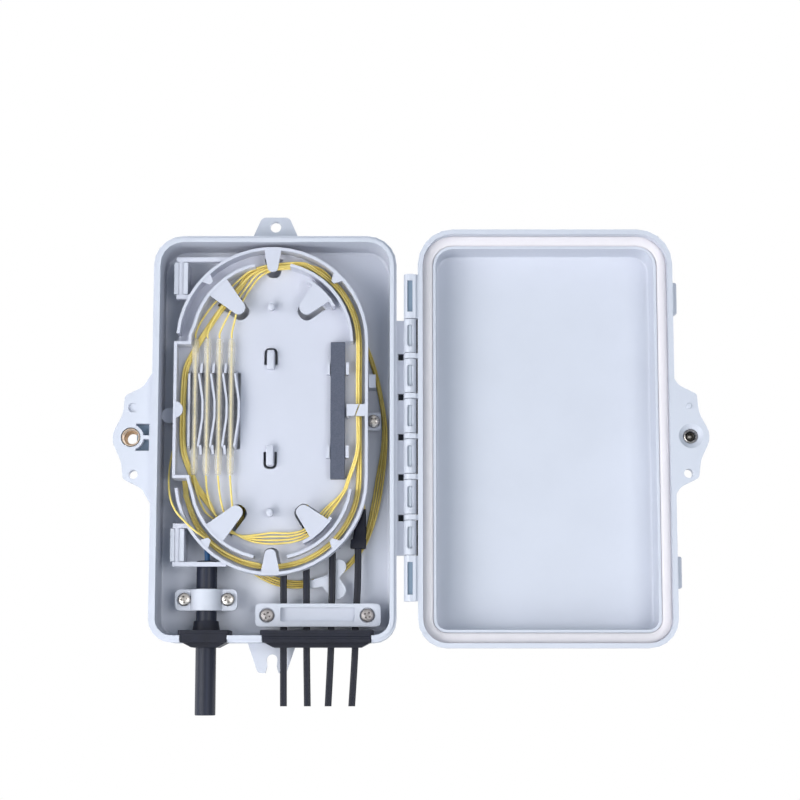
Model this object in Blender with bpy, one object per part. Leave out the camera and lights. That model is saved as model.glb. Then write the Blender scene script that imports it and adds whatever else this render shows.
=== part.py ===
import math

import bmesh
import bpy
from mathutils import Matrix, Vector

# Sizes are in metres. The box is laid out flat, as if lying on its back:
# u runs right, v runs up the wall, and w stands off the wall.

GAP = 0.0003  # left between pieces that touch
SKIM = 0.00005  # keeps faces of joined shapes out of one plane

# Base
BODY_WIDTH = 0.1070
BODY_HEIGHT = 0.1784
BASE_DEPTH = 0.0230
FLOOR = 0.0026
WALL = 0.0030
TOP_CORNER = 0.0130
LOW_CORNER = 0.0100
TONGUE_INSET = 0.0012
TONGUE_HEIGHT = 0.0016
TAB_THICK = 0.0030
TAB_U = -0.0012
TAB_REACH = 0.0130
TAB_HOLE = 0.0025
CLAW_SLOT = 0.0024

# Lid, which lies open at the right
LID_DEPTH = 0.0200
LID_FACE = 0.0025
SKIRT = 0.0021
SKIRT_LAP = 0.0025
SKIRT_RELIEF = 0.0010  # cut off the skirt beside the hinge, to swing past the base
FLANGE_HEIGHT = 0.0085
LID_STEP = 0.0052
GASKET_WIDTH = 0.0040
GASKET_THICK = 0.0018
LIP = 0.0012

# Hinge between base and lid
HINGE_OFFSET = 0.0059
KNUCKLE = 0.0027
PIN = 0.00125
KNUCKLE_COUNT = 6
KNUCKLE_PITCH = 0.0177
KNUCKLE_LENGTH = 0.0148
END_KNUCKLE = 0.0200
LEAF_THICK = 0.0034

# Latch ear, its threaded insert and its bolt
EAR_THICK = 0.0050
BOLT_REACH = 0.0093
BOSS = 0.0056
INSERT = 0.0040
INSERT_LENGTH = 0.0097
BOLT = 0.00205
BOLT_HEAD = 0.0042
BOLT_TRAVEL = 0.0070
WASHER_THICK = 0.0008
DISH = 0.0054  # the round hollow about the bolt in the lid's ear
DISH_DEPTH = 0.0020

# Splice tray
TRAY_U = -0.00125
TRAY_SIDE = 0.0083  # from the tray's round end to the base's wall
TRAY_ABOVE = 0.0046
TRAY_BELOW = 0.0289
TRAY_LOW = 0.0110
TRAY_FLOOR = 0.0015
TRAY_TOP = 0.0215
TRAY_WALL = 0.0013
LANE_WIDTH = 0.0066
HOLD_DOWN = 0.0013
TRAY_AXIS_W = 0.0162
TRAY_PIN = 0.0015
CLIP_HALF = 0.0030
ARM_NEAR_SHARE = 0.4858  # how far up the round end each arm leaves it
ARM_FAR_SHARE = 0.8827
ARM_THICK = 0.0019
RIB = 0.0009
RIB_BOW = 0.0012
RIB_PITCH = 0.0053
COMB_SIDE = 0.0042  # from the tray's hinge axis to the comb
SLEEVE = 0.00115

# Fibres
FIBRE = 0.00045
LANE_PITCH = 0.00117
BASE_PITCH = 0.00108
ARC_STEPS = 11  # points in each half circle of a lap
SIDE_STEPS = 2  # points in each straight side of a lap
FIRST_LAYER = 0.0009  # a fibre's centre above the tray's floor
LAYER = 0.00135

# Cables and what holds them
FEEDER_SHARE = -0.2766  # of the base's width, from its middle to the feeder
FEEDER_W = 0.0102
FEEDER = 0.0045
FEEDER_RISE = 0.0357  # of the stripped end above the base's lower edge
FEEDER_STUB = 0.0312
TUBE = 0.00125
DROP_W = 0.0085
DROP_WIDTH = 0.0030
DROP_THICK = 0.0020
DROP_SHARE = 0.1790  # of the base's width, from its middle to the middle of the drops
DROP_STUB = 0.0273
BOOT_RISE = 0.0412
BOOT_LENGTH = 0.0175
CLAMP_LIFT = 0.0100
SCREW = 0.00145
SCREW_HEAD = 0.0029
SCREW_DEPTH = 0.0034

for old in list(bpy.data.objects):
    bpy.data.objects.remove(old, do_unlink=True)

parts = bpy.data.collections.new("fiber_termination_box")
tools = bpy.data.collections.new("tools")
bpy.context.scene.collection.children.link(parts)
bpy.context.scene.collection.children.link(tools)

edge = BODY_WIDTH / 2
top = BODY_HEIGHT / 2
HINGE_U = edge + HINGE_OFFSET
HINGE_W = BASE_DEPTH
LID_OVER = SKIRT + GAP + 0.00005
LID_U = 2 * HINGE_U
EAR_TOP = BASE_DEPTH - SKIRT_LAP - GAP
LID_RIM = 2 * HINGE_W - (BASE_DEPTH - SKIRT_LAP)
LID_BACK = 2 * HINGE_W - BASE_DEPTH - LID_DEPTH
SEAT = 2 * HINGE_W - BASE_DEPTH - TONGUE_HEIGHT - GASKET_THICK - 2 * GAP
BOLT_U = -edge - BOLT_REACH
TRAY_DECK = TRAY_LOW + TRAY_FLOOR
TRAY_RADIUS = edge - WALL - TRAY_SIDE
TRAY_V = (TRAY_BELOW - TRAY_ABOVE) / 2
TRAY_HALF = top - (TRAY_ABOVE + TRAY_BELOW) / 2 - TRAY_RADIUS  # half its straight run
GUIDE_RADIUS = TRAY_RADIUS - LANE_WIDTH
TRAY_AXIS_U = TRAY_U - TRAY_RADIUS + 0.00135
COMB_U = TRAY_AXIS_U + COMB_SIDE
ARM_NEAR = TRAY_HALF + ARM_NEAR_SHARE * TRAY_RADIUS
ARM_FAR = TRAY_HALF + ARM_FAR_SHARE * TRAY_RADIUS
SLEEVE_LENGTH = 2 * TRAY_HALF - 0.0001
FEEDER_U = FEEDER_SHARE * BODY_WIDTH
FEEDER_TOP = FEEDER_RISE - top
FEEDER_END = -top - FEEDER_STUB
DROPS_U = DROP_SHARE * BODY_WIDTH
DROP_END = -top - DROP_STUB
BOOT_LOW = BOOT_RISE - top
BOOT_HIGH = BOOT_LOW + BOOT_LENGTH


def pivot(name, u, v, w, parent=None):
    empty = bpy.data.objects.new(name, None)
    parts.objects.link(empty)
    empty.empty_display_size = 0.01
    empty.parent = parent
    empty.location = (u, v, w)
    return empty


root = pivot("box_upright", 0, 0, 0)
root.rotation_euler = (math.radians(90), 0, 0)
lid_axis = pivot("lid_axis", HINGE_U, 0, HINGE_W, root)
tray_axis = pivot("tray_axis", TRAY_AXIS_U, TRAY_V, TRAY_AXIS_W, root)
bolt_axis = pivot("bolt_axis", LID_U - BOLT_U, 0, LID_RIM, root)


def colour(name, red, green, blue, rough, metal=0.0):
    made = bpy.data.materials.new(name)
    made.use_nodes = True
    shader = made.node_tree.nodes["Principled BSDF"]
    shader.inputs["Base Color"].default_value = (red, green, blue, 1)
    shader.inputs["Roughness"].default_value = rough
    shader.inputs["Metallic"].default_value = metal
    made.diffuse_color = (red, green, blue, 1)
    return made


def shape(name, mesh):
    bmesh.ops.recalc_face_normals(mesh, faces=mesh.faces)
    data = bpy.data.meshes.new(name)
    mesh.to_mesh(data)
    mesh.free()
    made = bpy.data.objects.new(name, data)
    made.display_type = "WIRE"
    made.hide_render = True
    tools.objects.link(made)
    return made


def spot(point, height, along):
    if along == "v":
        return Vector((point[0], height, point[1]))
    if along == "u":
        return Vector((height, point[0], point[1]))
    return Vector((point[0], point[1], height))


def plate(name, outline, low, high, along="w", soft_low=0.0, soft_high=0.0):
    mesh = bmesh.new()
    face = mesh.faces.new([mesh.verts.new(spot(p, low, along)) for p in outline])
    grown = bmesh.ops.extrude_face_region(mesh, geom=[face])["geom"]
    moved = [g for g in grown if isinstance(g, bmesh.types.BMVert)]
    bmesh.ops.translate(mesh, verts=moved, vec=spot((0, 0), high - low, along))
    axis = {"u": 0, "v": 1, "w": 2}[along]
    for level, soft in ((low, soft_low), (high, soft_high)):
        if soft:
            rim = [e for e in mesh.edges if all(abs(p.co[axis] - level) < 1e-7 for p in e.verts)]
            bmesh.ops.bevel(mesh, geom=rim, offset=soft, segments=2, profile=0.5, affect="EDGES")
    return shape(name, mesh)


def frame(name, outer, inner, low, high):
    mesh = bmesh.new()
    rims = []
    for outline in (outer, inner):
        ring = [mesh.verts.new((p[0], p[1], low)) for p in outline]
        rims += [mesh.edges.new((ring[i - 1], ring[i])) for i in range(len(ring))]
    band = bmesh.ops.bridge_loops(mesh, edges=rims)["faces"]
    grown = bmesh.ops.extrude_face_region(mesh, geom=band)["geom"]
    moved = [g for g in grown if isinstance(g, bmesh.types.BMVert)]
    bmesh.ops.translate(mesh, verts=moved, vec=(0, 0, high - low))
    return shape(name, mesh)


def rod(name, a, b, radius, low, high, along="w", end=None, sides=16):
    mesh = bmesh.new()
    turn = Matrix.Rotation(math.radians(-90), 4, "X") if along == "v" else Matrix()
    place = Matrix.Translation(spot((a, b), (low + high) / 2, along)) @ turn
    end = radius if end is None else end
    bmesh.ops.create_cone(
        mesh, cap_ends=True, segments=sides, radius1=radius, radius2=end,
        depth=high - low, matrix=place)
    return shape(name, mesh)


def rounded(corners, steps=5):
    outline = []
    for i, (u, v, radius) in enumerate(corners):
        here = Vector((u, v))
        if not radius:
            outline.append(here)
            continue
        back = (Vector(corners[i - 1][:2]) - here).normalized()
        ahead = (Vector(corners[(i + 1) % len(corners)][:2]) - here).normalized()
        half = back.angle(ahead) / 2
        centre = here + (back + ahead).normalized() * radius / math.sin(half)
        start = here + back * radius / math.tan(half) - centre
        end = here + ahead * radius / math.tan(half) - centre
        first = math.atan2(start.y, start.x)
        sweep = math.remainder(math.atan2(end.y, end.x) - first, 2 * math.pi)
        for step in range(steps + 1):
            angle = first + sweep * step / steps
            outline.append(centre + radius * Vector((math.cos(angle), math.sin(angle))))
    return outline


def box(u0, v0, u1, v1, radius=0.0, steps=2):
    corners = ((u0, v0), (u1, v0), (u1, v1), (u0, v1))
    return rounded([(u, v, radius) for u, v in corners], steps)


def arc(u, v, radius, first, last, steps):
    angles = [math.radians(first + (last - first) * i / steps) for i in range(steps + 1)]
    return [Vector((u + radius * math.cos(a), v + radius * math.sin(a))) for a in angles]


def wall(name, path, thick, low, high):
    left = []
    right = []
    for i, here in enumerate(path):
        into = (here - path[i - 1]).normalized() if i else None
        out = (path[i + 1] - here).normalized() if i + 1 < len(path) else into
        into = into or out
        side = Vector((-(into + out).y, (into + out).x)).normalized()
        half = thick / 2 / max(side.dot(Vector((-out.y, out.x))), 0.5)
        left.append(here + side * half)
        right.append(here - side * half)
    return plate(name, left + right[::-1], low, high)


def combine(kind, body, pieces):
    for piece in pieces:
        step = body.modifiers.new(piece.name, "BOOLEAN")
        step.operation = kind
        step.solver = "EXACT"
        step.object = piece


def join(body, *pieces):
    combine("UNION", body, pieces)


def cut(body, *pieces):
    combine("DIFFERENCE", body, pieces)


def hang(piece, holder):
    piece.parent = holder
    if holder is not root:
        piece.location = -holder.location
    for step in piece.modifiers:
        if step.type == "BOOLEAN":
            hang(step.object, holder)


def part(piece, material, holder=root):
    tools.objects.unlink(piece)
    parts.objects.link(piece)
    piece.display_type = "TEXTURED"
    piece.hide_render = False
    piece.data.materials.append(material)
    hang(piece, holder)
    return piece


def tube(name, points, radius, material, holder=root, resolution=1):
    data = bpy.data.curves.new(name, "CURVE")
    data.dimensions = "3D"
    line = data.splines.new("POLY")
    line.points.add(len(points) - 1)
    for knot, point in zip(line.points, points):
        knot.co = (*point, 1)
    data.bevel_depth = radius
    data.bevel_resolution = resolution
    data.use_fill_caps = True
    data.materials.append(material)
    made = bpy.data.objects.new(name, data)
    parts.objects.link(made)
    hang(made, holder)
    return made


def body_outline(inset, shift=0.0):
    wide = BODY_WIDTH / 2 - inset
    tall = BODY_HEIGHT / 2 - inset
    top = max(TOP_CORNER - inset, 0.002)
    low = max(LOW_CORNER - inset, 0.002)
    return rounded([
        (shift - wide, -tall, low), (shift + wide, -tall, low),
        (shift + wide, tall, top), (shift - wide, tall, top)], 5)


def ear_outline(edge, side):
    corners = (
        (-0.0014, 0.0312, 0), (0.0042, 0.0223, 0.0060), (0.0121, 0.0183, 0.0020),
        (0.0129, 0.0100, 0.0120), (0.0183, -0.0002, 0.0090), (0.0134, -0.0104, 0.0120),
        (0.0124, -0.0183, 0.0018), (0.0043, -0.0223, 0.0070), (-0.0014, -0.0321, 0))
    return rounded([(edge + side * reach, v, radius) for reach, v, radius in corners], 4)


plastic = colour("grey_plastic", 0.62, 0.66, 0.74, 0.45)
tray_plastic = colour("tray_plastic", 0.66, 0.70, 0.77, 0.45)
silicone = colour("silicone", 0.82, 0.80, 0.84, 0.6)
brass = colour("brass", 0.62, 0.55, 0.42, 0.35, 1.0)
steel = colour("steel", 0.62, 0.62, 0.63, 0.3, 1.0)
rubber = colour("black_rubber", 0.02, 0.02, 0.022, 0.6)
jacket = colour("cable_jacket", 0.018, 0.018, 0.02, 0.45)
blue = colour("blue_tube", 0.02, 0.12, 0.55, 0.4)
yellow = colour("yellow_fibre", 0.85, 0.68, 0.05, 0.45)
clear = colour("clear_sleeve", 0.80, 0.84, 0.86, 0.2)
foam = colour("dark_foam", 0.05, 0.05, 0.065, 0.9)

# Base: the tub, its tongue, tabs, ear and hinge leaf
base = plate("base_shell", body_outline(0), 0, BASE_DEPTH, soft_low=0.0015)
tongue = plate("tongue", body_outline(TONGUE_INSET), BASE_DEPTH - 0.002, BASE_DEPTH + TONGUE_HEIGHT)
upper_tab = plate("upper_tab", rounded([
    (TAB_U - 0.0125, top - 0.0015, 0), (TAB_U + 0.0125, top - 0.0015, 0),
    (TAB_U + 0.0062, top + TAB_REACH, 0.0028), (TAB_U - 0.0062, top + TAB_REACH, 0.0028)]), 0, TAB_THICK)
lower_tab = plate("lower_tab", rounded([
    (TAB_U - 0.0062, -top - TAB_REACH, 0.0020), (TAB_U + 0.0062, -top - TAB_REACH, 0.0020),
    (TAB_U + 0.0112, -top + 0.0015, 0), (TAB_U - 0.0112, -top + 0.0015, 0)]), 0, TAB_THICK)
ear = plate("base_ear", ear_outline(-edge, -1), EAR_TOP - EAR_THICK, EAR_TOP)
join(base, tongue, upper_tab, lower_tab, ear)
for low, high in ((0.0008, 0.0060), (-0.0060, -0.0008)):
    opening = box(BOLT_U + 0.0022, low, -edge - 0.0012, high)
    cut(base, plate("ear_opening", opening, EAR_TOP - EAR_THICK - 0.002, EAR_TOP + 0.002))
boss_low = EAR_TOP - INSERT_LENGTH - 0.0008
join(base, rod("insert_boss", BOLT_U, 0, BOSS, boss_low, EAR_TOP - 2 * SKIM, sides=20))
cut(base, rod("insert_bore", BOLT_U, 0, INSERT + GAP, 0, BASE_DEPTH, sides=20))
cut(base, rod("seal_hole", -edge - 0.0079, -0.0164, 0.0020, 0, BASE_DEPTH, sides=12))
cut(base, rod("nib_socket", -edge - 0.0085, 0.0130, 0.0021, EAR_TOP - 0.0012, BASE_DEPTH, sides=12))
cut(base, rod("tab_hole", TAB_U, top + 0.0086, TAB_HOLE, -0.001, TAB_THICK + 0.001, sides=16))
claw = arc(TAB_U, -top - 0.0072, CLAW_SLOT, 0, 180, 10)
claw += [Vector((TAB_U + side, -top - reach)) for side, reach in (
    (-0.0021, 0.0100), (-0.0032, TAB_REACH + 0.001), (0.0032, TAB_REACH + 0.001), (0.0021, 0.0100))]
cut(base, plate("claw_slot", claw, -0.001, TAB_THICK + 0.001))

leaf_low = EAR_TOP - LEAF_THICK
reach = (KNUCKLE_COUNT - 1) * KNUCKLE_PITCH / 2 + KNUCKLE_LENGTH / 2
leaf = plate("hinge_leaf", box(edge - 0.0014, -reach, HINGE_U, reach), leaf_low, EAR_TOP)
web_plan = box(HINGE_U - KNUCKLE + 2 * SKIM, -reach + SKIM, HINGE_U - 0.0002, reach - SKIM)
web = plate("knuckle_web", web_plan, leaf_low + 0.0006, HINGE_W - 2 * SKIM)
barrel = rod("knuckle_barrel", HINGE_U, HINGE_W, KNUCKLE, -reach, reach, "v", sides=16)
join(base, leaf, web, barrel)
cut(base, plate("cavity", body_outline(WALL), FLOOR, 0.05, soft_low=0.0015))
ring_gap = KNUCKLE_PITCH - KNUCKLE_LENGTH
for k in range(KNUCKLE_COUNT):
    v = (k - (KNUCKLE_COUNT - 1) / 2) * KNUCKLE_PITCH
    pane = box(HINGE_U - 0.0014, v - 0.0048, HINGE_U + 0.0014, v + 0.0048, 0.0011)
    cut(base, plate("knuckle_window", pane, HINGE_W + PIN, 0.05))
    if k:
        v -= KNUCKLE_PITCH / 2
        slot = box(edge + 0.0007, v - ring_gap / 2, HINGE_U + 0.004, v + ring_gap / 2)
        cut(base, plate("ring_slot", slot, leaf_low + 0.0008, 0.05))
cut(base, rod("pin_bore", HINGE_U, HINGE_W, PIN + GAP, -0.1, 0.1, "v", sides=12))

# Base: entries, clips for the tray, bosses, rests and guides
grommet_low = FLOOR + 0.0010
entries = {"feeder": (FEEDER_U - 0.0102, FEEDER_U + 0.0102), "drop": (DROPS_U - 0.02355, DROPS_U + 0.02355)}
for name, (left, right) in entries.items():
    notch = box(left, -top - 0.01, right, -top + WALL + 0.002)
    cut(base, plate(name + "_notch", notch, grommet_low, 0.05))
for side in (1, -1):
    near = TRAY_V + side * (ARM_NEAR + ARM_THICK / 2 + GAP)
    far = TRAY_V + side * (ARM_FAR - ARM_THICK / 2 - GAP)
    low, high = sorted((near, far))
    block = box(TRAY_AXIS_U - CLIP_HALF, low, TRAY_AXIS_U + CLIP_HALF, high)
    join(base, plate("tray_clip", block, FLOOR - 0.0006, TRAY_AXIS_W + 0.0014))
    cut(base, rod("clip_bore", TRAY_AXIS_U, TRAY_AXIS_W, TRAY_PIN + GAP, low - 0.001, high + 0.001, "v"))
drop_line = 0.0119 - top
feeder_line = 0.0188 - top
drop_screws = ((DROPS_U - 0.02205, drop_line), (DROPS_U + 0.02165, drop_line))
feeder_screws = ((FEEDER_U - 0.0095, feeder_line), (FEEDER_U + 0.0095, feeder_line))
bracket_screw = (edge - 0.0102, 0.0084)
drop_seat = DROP_W + DROP_THICK / 2 + GAP
feeder_seat = FEEDER_W - 0.0003
bracket_seat = 0.0068
bosses = [(u, v, 0.0036, drop_seat) for u, v in drop_screws]
bosses += [(u, v, 0.0036, feeder_seat) for u, v in feeder_screws]
bosses.append((*bracket_screw, 0.0024, bracket_seat))
for u, v, radius, seat in bosses:
    join(base, rod("screw_boss", u, v, radius, FLOOR - 0.0006, seat - GAP, sides=12))
    cut(base, rod("screw_hole", u, v, SCREW + GAP, seat - SCREW_DEPTH - GAP, seat + 0.002, sides=10))
rest = box(DROPS_U - 0.01975, drop_line - 0.0027, DROPS_U + 0.01935, drop_line + 0.0027)
join(base, plate("cable_rest", rest, FLOOR - 0.0006, DROP_W - DROP_THICK / 2 - GAP))
for u, v in ((edge - 0.0150, 0.0360), (edge - 0.0210, -0.0220)):
    join(base, rod("tray_rest", u, v, 0.0016, FLOOR - 0.0006, TRAY_LOW - GAP, sides=12))
join(base, rod("left_boss", 0.0061 - edge, 0.0110, 0.0034, FLOOR - 0.0006, 0.0090))
join(base, plate("side_clip", box(edge - 0.0123, 0.0231, edge - 0.0093, 0.0289), FLOOR - 0.0006, 0.0125))
leaf_low = DROP_W - DROP_THICK / 2 - GAP - 0.0012
guide_u = DROPS_U + 0.0091
guide_v = 0.0286 - top
guide_leaf = rounded([(guide_u + u, guide_v + v, radius) for u, v, radius in (
    (-0.0114, -0.0047, 0.0006), (-0.0074, -0.0038, 0), (-0.0038, -0.0086, 0.0008), (0.0005, -0.0100, 0.0020),
    (0.0035, -0.0054, 0.0022), (0, 0, 0.0006), (0.0035, 0.0041, 0.0022), (0.0007, 0.0086, 0.0024),
    (-0.0033, 0.0066, 0.0010), (-0.0052, 0.0012, 0.0010), (-0.0117, -0.0010, 0.0006))], 4)
join(base, plate("guide_leaf", guide_leaf, leaf_low, leaf_low + 0.0012))
for u, v, radius in ((0.0001, -0.0059, 0.0018), (-0.0003, 0.0075, 0.0008)):
    foot = rod("guide_foot", guide_u + u, guide_v + v, radius, FLOOR - 0.0006, leaf_low + 0.0006, sides=14)
    join(base, foot)
part(base, plastic)

insert = rod("threaded_insert", BOLT_U, 0, INSERT, EAR_TOP - INSERT_LENGTH, EAR_TOP - 0.0002, sides=28)
cut(insert, rod("insert_thread", BOLT_U, 0, BOLT + GAP + 0.00005, 0, BASE_DEPTH, sides=20))
part(insert, brass)
part(rod("hinge_pin", HINGE_U, HINGE_W, PIN, -0.0710, 0.0710, "v", sides=12), steel)

# Lid
lid_edge = LID_U - edge - LID_OVER
lid = plate("lid_shell", body_outline(-LID_OVER, LID_U), LID_RIM - FLANGE_HEIGHT, LID_RIM)
crown = plate("lid_crown", body_outline(LID_STEP - LID_OVER, LID_U), LID_BACK, SEAT - 0.0008, soft_low=0.0030)
lid_ear = plate("lid_ear", ear_outline(LID_U + edge, 1), LID_RIM - EAR_THICK, LID_RIM)
lid_bolt_u = LID_U - BOLT_U
bolt_seat = LID_RIM - 0.0100
lid_boss = rod("bolt_boss", lid_bolt_u, 0, BOSS, bolt_seat, LID_RIM - 0.001, sides=20)
join(lid, crown, lid_ear, lid_boss)
for low, high in ((0.0541, 0.0682), (-0.0661, -0.0523)):
    lug = box(LID_U + edge + LID_OVER - 0.0012, low, LID_U + edge + LID_OVER + 0.0020, high, 0.0008)
    join(lid, plate("side_lug", lug, LID_RIM - 0.0070, LID_RIM - 0.0030))
for k in range(1, KNUCKLE_COUNT):
    v = (k - KNUCKLE_COUNT / 2) * KNUCKLE_PITCH
    half = ring_gap / 2 - GAP
    join(lid, rod("lid_ring", HINGE_U, HINGE_W, KNUCKLE, v - half, v + half, "v", sides=16))
    link = box(HINGE_U, v - half + 0.0001, lid_edge + 0.0014, v + half - 0.0001)
    join(lid, plate("ring_link", link, LID_RIM - EAR_THICK, LID_RIM))
for side in (1, -1):
    low, high = sorted((side * (reach + GAP), side * (reach + END_KNUCKLE)))
    join(lid, rod("end_knuckle", HINGE_U, HINGE_W, KNUCKLE, low, high, "v", sides=16))
    link = box(HINGE_U, low + 0.0001, lid_edge + 0.0014, high - 0.0001)
    join(lid, plate("end_link", link, LID_RIM - EAR_THICK, LID_RIM))
    pane = box(HINGE_U - 0.0012, low + 0.0028, HINGE_U + 0.0011, high - 0.0028)
    cut(lid, plate("end_pane", pane, HINGE_W + PIN, 0.05))
pocket = body_outline(SKIRT - LID_OVER, LID_U)
cut(lid, plate("lid_pocket", pocket, SEAT, 0.05))
relief = box(lid_edge - 0.0010, -top + 0.0036, lid_edge + SKIRT + 0.0034, top - 0.0036)
cut(lid, plate("skirt_relief", relief, LID_RIM - SKIRT_RELIEF, 0.05))
lip_inset = SKIRT + GASKET_WIDTH + 2 * GAP - LID_OVER
lip = frame(
    "seal_lip", body_outline(lip_inset, LID_U), body_outline(lip_inset + LIP, LID_U),
    SEAT - 0.0008, SEAT + GAP + GASKET_THICK)
hollow = body_outline(lip_inset + LIP + 0.00002, LID_U)
cut(lid, plate("lid_hollow", hollow, LID_BACK + LID_FACE, 0.05, soft_low=0.0020))
join(lid, lip)
cut(lid, rod("lid_pin_bore", HINGE_U, HINGE_W, PIN + GAP, -0.1, 0.1, "v", sides=12))
cut(lid, rod("bolt_bore", lid_bolt_u, 0, BOLT + GAP, 0.005, 0.05))
retainer = 0.0030
ring_high = LID_RIM - DISH_DEPTH - GAP
ring_low = ring_high - 0.0010
dish_low = LID_RIM - DISH_DEPTH - 0.0002
cut(lid, rod("bolt_dish", lid_bolt_u, 0, retainer, dish_low, LID_RIM, end=DISH, sides=28))
cut(lid, rod("retainer_bore", lid_bolt_u, 0, retainer + GAP, ring_low - GAP, 0.05, sides=24))
cut(lid, rod("lid_seal_hole", LID_U + edge + 0.0079, -0.0164, 0.0020, 0.010, 0.05, sides=16))
nib_u = LID_U + edge + 0.0085
join(lid, rod("lid_nib", nib_u, 0.0130, 0.0017, LID_RIM - 0.001, LID_RIM + 0.0007, end=0.0011))
part(lid, plastic, lid_axis)

inset = SKIRT + GAP - LID_OVER
gasket = frame(
    "lid_gasket", body_outline(inset, LID_U), body_outline(inset + GASKET_WIDTH, LID_U),
    SEAT + GAP, SEAT + GAP + GASKET_THICK)
part(gasket, silicone, lid_axis)

ring = rod("bolt_retainer", lid_bolt_u, 0, retainer, ring_low, ring_high, sides=24)
cut(ring, rod("retainer_hole", lid_bolt_u, 0, BOLT + GAP, 0, 0.05))
part(ring, steel, lid_axis)
washer_top = bolt_seat - GAP - BOLT_TRAVEL
washer = rod("bolt_washer", lid_bolt_u, 0, BOLT_HEAD, washer_top - WASHER_THICK, washer_top, sides=24)
cut(washer, rod("washer_hole", lid_bolt_u, 0, BOLT + GAP, 0, 0.05))
part(washer, rubber, bolt_axis)
head_top = washer_top - WASHER_THICK - GAP
bolt = rod("lock_bolt", lid_bolt_u, 0, BOLT_HEAD, head_top - 0.0040, head_top, sides=24)
join(bolt, rod("bolt_shank", lid_bolt_u, 0, BOLT, head_top - 0.001, LID_RIM - 0.0024))
cut(bolt, rod("bolt_socket", lid_bolt_u, 0, 0.0022, head_top - 0.006, head_top - 0.0016, sides=6))
part(bolt, steel, bolt_axis)


# Splice tray
def tab(body, name, centre_v, angle, root_reach, tip_reach, root_half, tip_half, window=True):
    aim = Vector((math.cos(math.radians(angle)), math.sin(math.radians(angle))))
    side = Vector((-aim.y, aim.x))
    middle = Vector((TRAY_U, centre_v))
    corners = []
    for far, half, soft in ((root_reach, -root_half, 0), (root_reach, root_half, 0),
                            (tip_reach, tip_half, 1.1), (tip_reach, -tip_half, 1.1)):
        corners.append((*(middle + aim * far + side * half), soft * tip_half))
    join(body, plate(name, rounded(corners, 4), TRAY_TOP - HOLD_DOWN - 0.0002, TRAY_TOP - 0.0002))
    if window:
        share = 0.30
        wide = root_half + (tip_half - root_half) * share + 0.0008
        start = root_reach + (tip_reach - root_reach) * share
        end = tip_half + 0.0008
        pane = []
        for far, half, soft in ((start, -wide, 0), (start, wide, 0),
                                (tip_reach - 0.0012, end, end), (tip_reach - 0.0012, -end, end)):
            pane.append((*(middle + aim * far + side * half), soft))
        cut(body, plate(name + "_window", rounded(pane, 4), TRAY_LOW - 0.001, TRAY_DECK + 0.001))


high_v = TRAY_V + TRAY_HALF
low_v = TRAY_V - TRAY_HALF
stadium = arc(TRAY_U, high_v, TRAY_RADIUS, 0, 180, 24) + arc(TRAY_U, low_v, TRAY_RADIUS, 180, 360, 24)
bump_u = TRAY_AXIS_U - 0.0022
tray = plate("splice_tray", stadium, TRAY_LOW, TRAY_DECK)
join(tray, plate("left_floor", box(bump_u, low_v, COMB_U + 0.0079, high_v), TRAY_LOW, TRAY_DECK))
comb_left = COMB_U - 0.0006
comb_right = COMB_U + 0.0224
sleeves = [COMB_U + 0.00255 + RIB_PITCH * k for k in range(4)]
comb_low = TRAY_V - 0.544 * TRAY_HALF
comb_high = TRAY_V + 0.577 * TRAY_HALF
cut(tray, plate("comb_opening", box(comb_left, comb_low, comb_right, comb_high), TRAY_LOW - 0.001, TRAY_TOP))
entry = box(TRAY_AXIS_U - 0.0015, low_v - 0.0108, TRAY_AXIS_U + 0.0055, low_v - 0.0001)
cut(tray, plate("fibre_entry", entry, TRAY_LOW - 0.001, TRAY_TOP))
stand = TRAY_DECK - 0.0008
rim_reach = TRAY_RADIUS - TRAY_WALL / 2
rim = arc(TRAY_U, high_v, rim_reach, 175, 0, 22) + arc(TRAY_U, low_v, rim_reach, 0, -174, 22)
join(tray, wall("tray_rim", rim, TRAY_WALL, stand, TRAY_TOP))
guide = GUIDE_RADIUS - TRAY_WALL / 2
left_u = bump_u + TRAY_WALL / 2
neck_u = sleeves[0] - SLEEVE - GAP - TRAY_WALL / 2
left = arc(TRAY_U, high_v, guide, 103, 168, 8)
left += [Vector(p) for p in (
    (neck_u + 0.0002, high_v + 0.0030), (neck_u, high_v - 0.0007), (left_u, high_v - 0.0007),
    (left_u, low_v + 0.0007), (neck_u, low_v + 0.0007), (neck_u + 0.0001, low_v - 0.0004))]
left += arc(TRAY_U, low_v, guide, 190, 258, 8)
join(tray, wall("left_guide", left, TRAY_WALL, stand, TRAY_TOP))
for name, v, first, last in (("upper_right_guide", high_v, 77, 0), ("lower_right_guide", low_v, 282, 352)):
    join(tray, wall(name, arc(TRAY_U, v, guide, first, last, 9), TRAY_WALL, stand, TRAY_TOP))
for v, first, last in ((high_v, 61, 30), (low_v, -33, -63)):
    bow = arc(TRAY_U, v, GUIDE_RADIUS - 0.0043, first, last, 5)
    join(tray, wall("tab_wall", bow, TRAY_WALL, stand, TRAY_TOP - 0.0001))
tab_tip = GUIDE_RADIUS - 0.0173
tab_root = GUIDE_RADIUS - 0.0039
tab(tray, "top_tab", high_v, 90, TRAY_RADIUS - 0.0006, TRAY_RADIUS - 0.0111, 0.0038, 0.0020)
tab(tray, "bottom_tab", low_v, 270, TRAY_RADIUS - 0.0006, TRAY_RADIUS - 0.0113, 0.0042, 0.0020)
tab(tray, "upper_left_tab", high_v, 134.8, GUIDE_RADIUS - 0.0004, tab_tip, 0.0054, 0.0025)
tab(tray, "upper_right_tab", high_v, 45.3, tab_root, tab_tip, 0.0054, 0.0026)
tab(tray, "lower_left_tab", low_v, 224.5, GUIDE_RADIUS - 0.0004, tab_tip, 0.0054, 0.0025)
tab(tray, "lower_right_tab", low_v, -46, tab_root, tab_tip - 0.0008, 0.0058, 0.0025)
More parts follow.
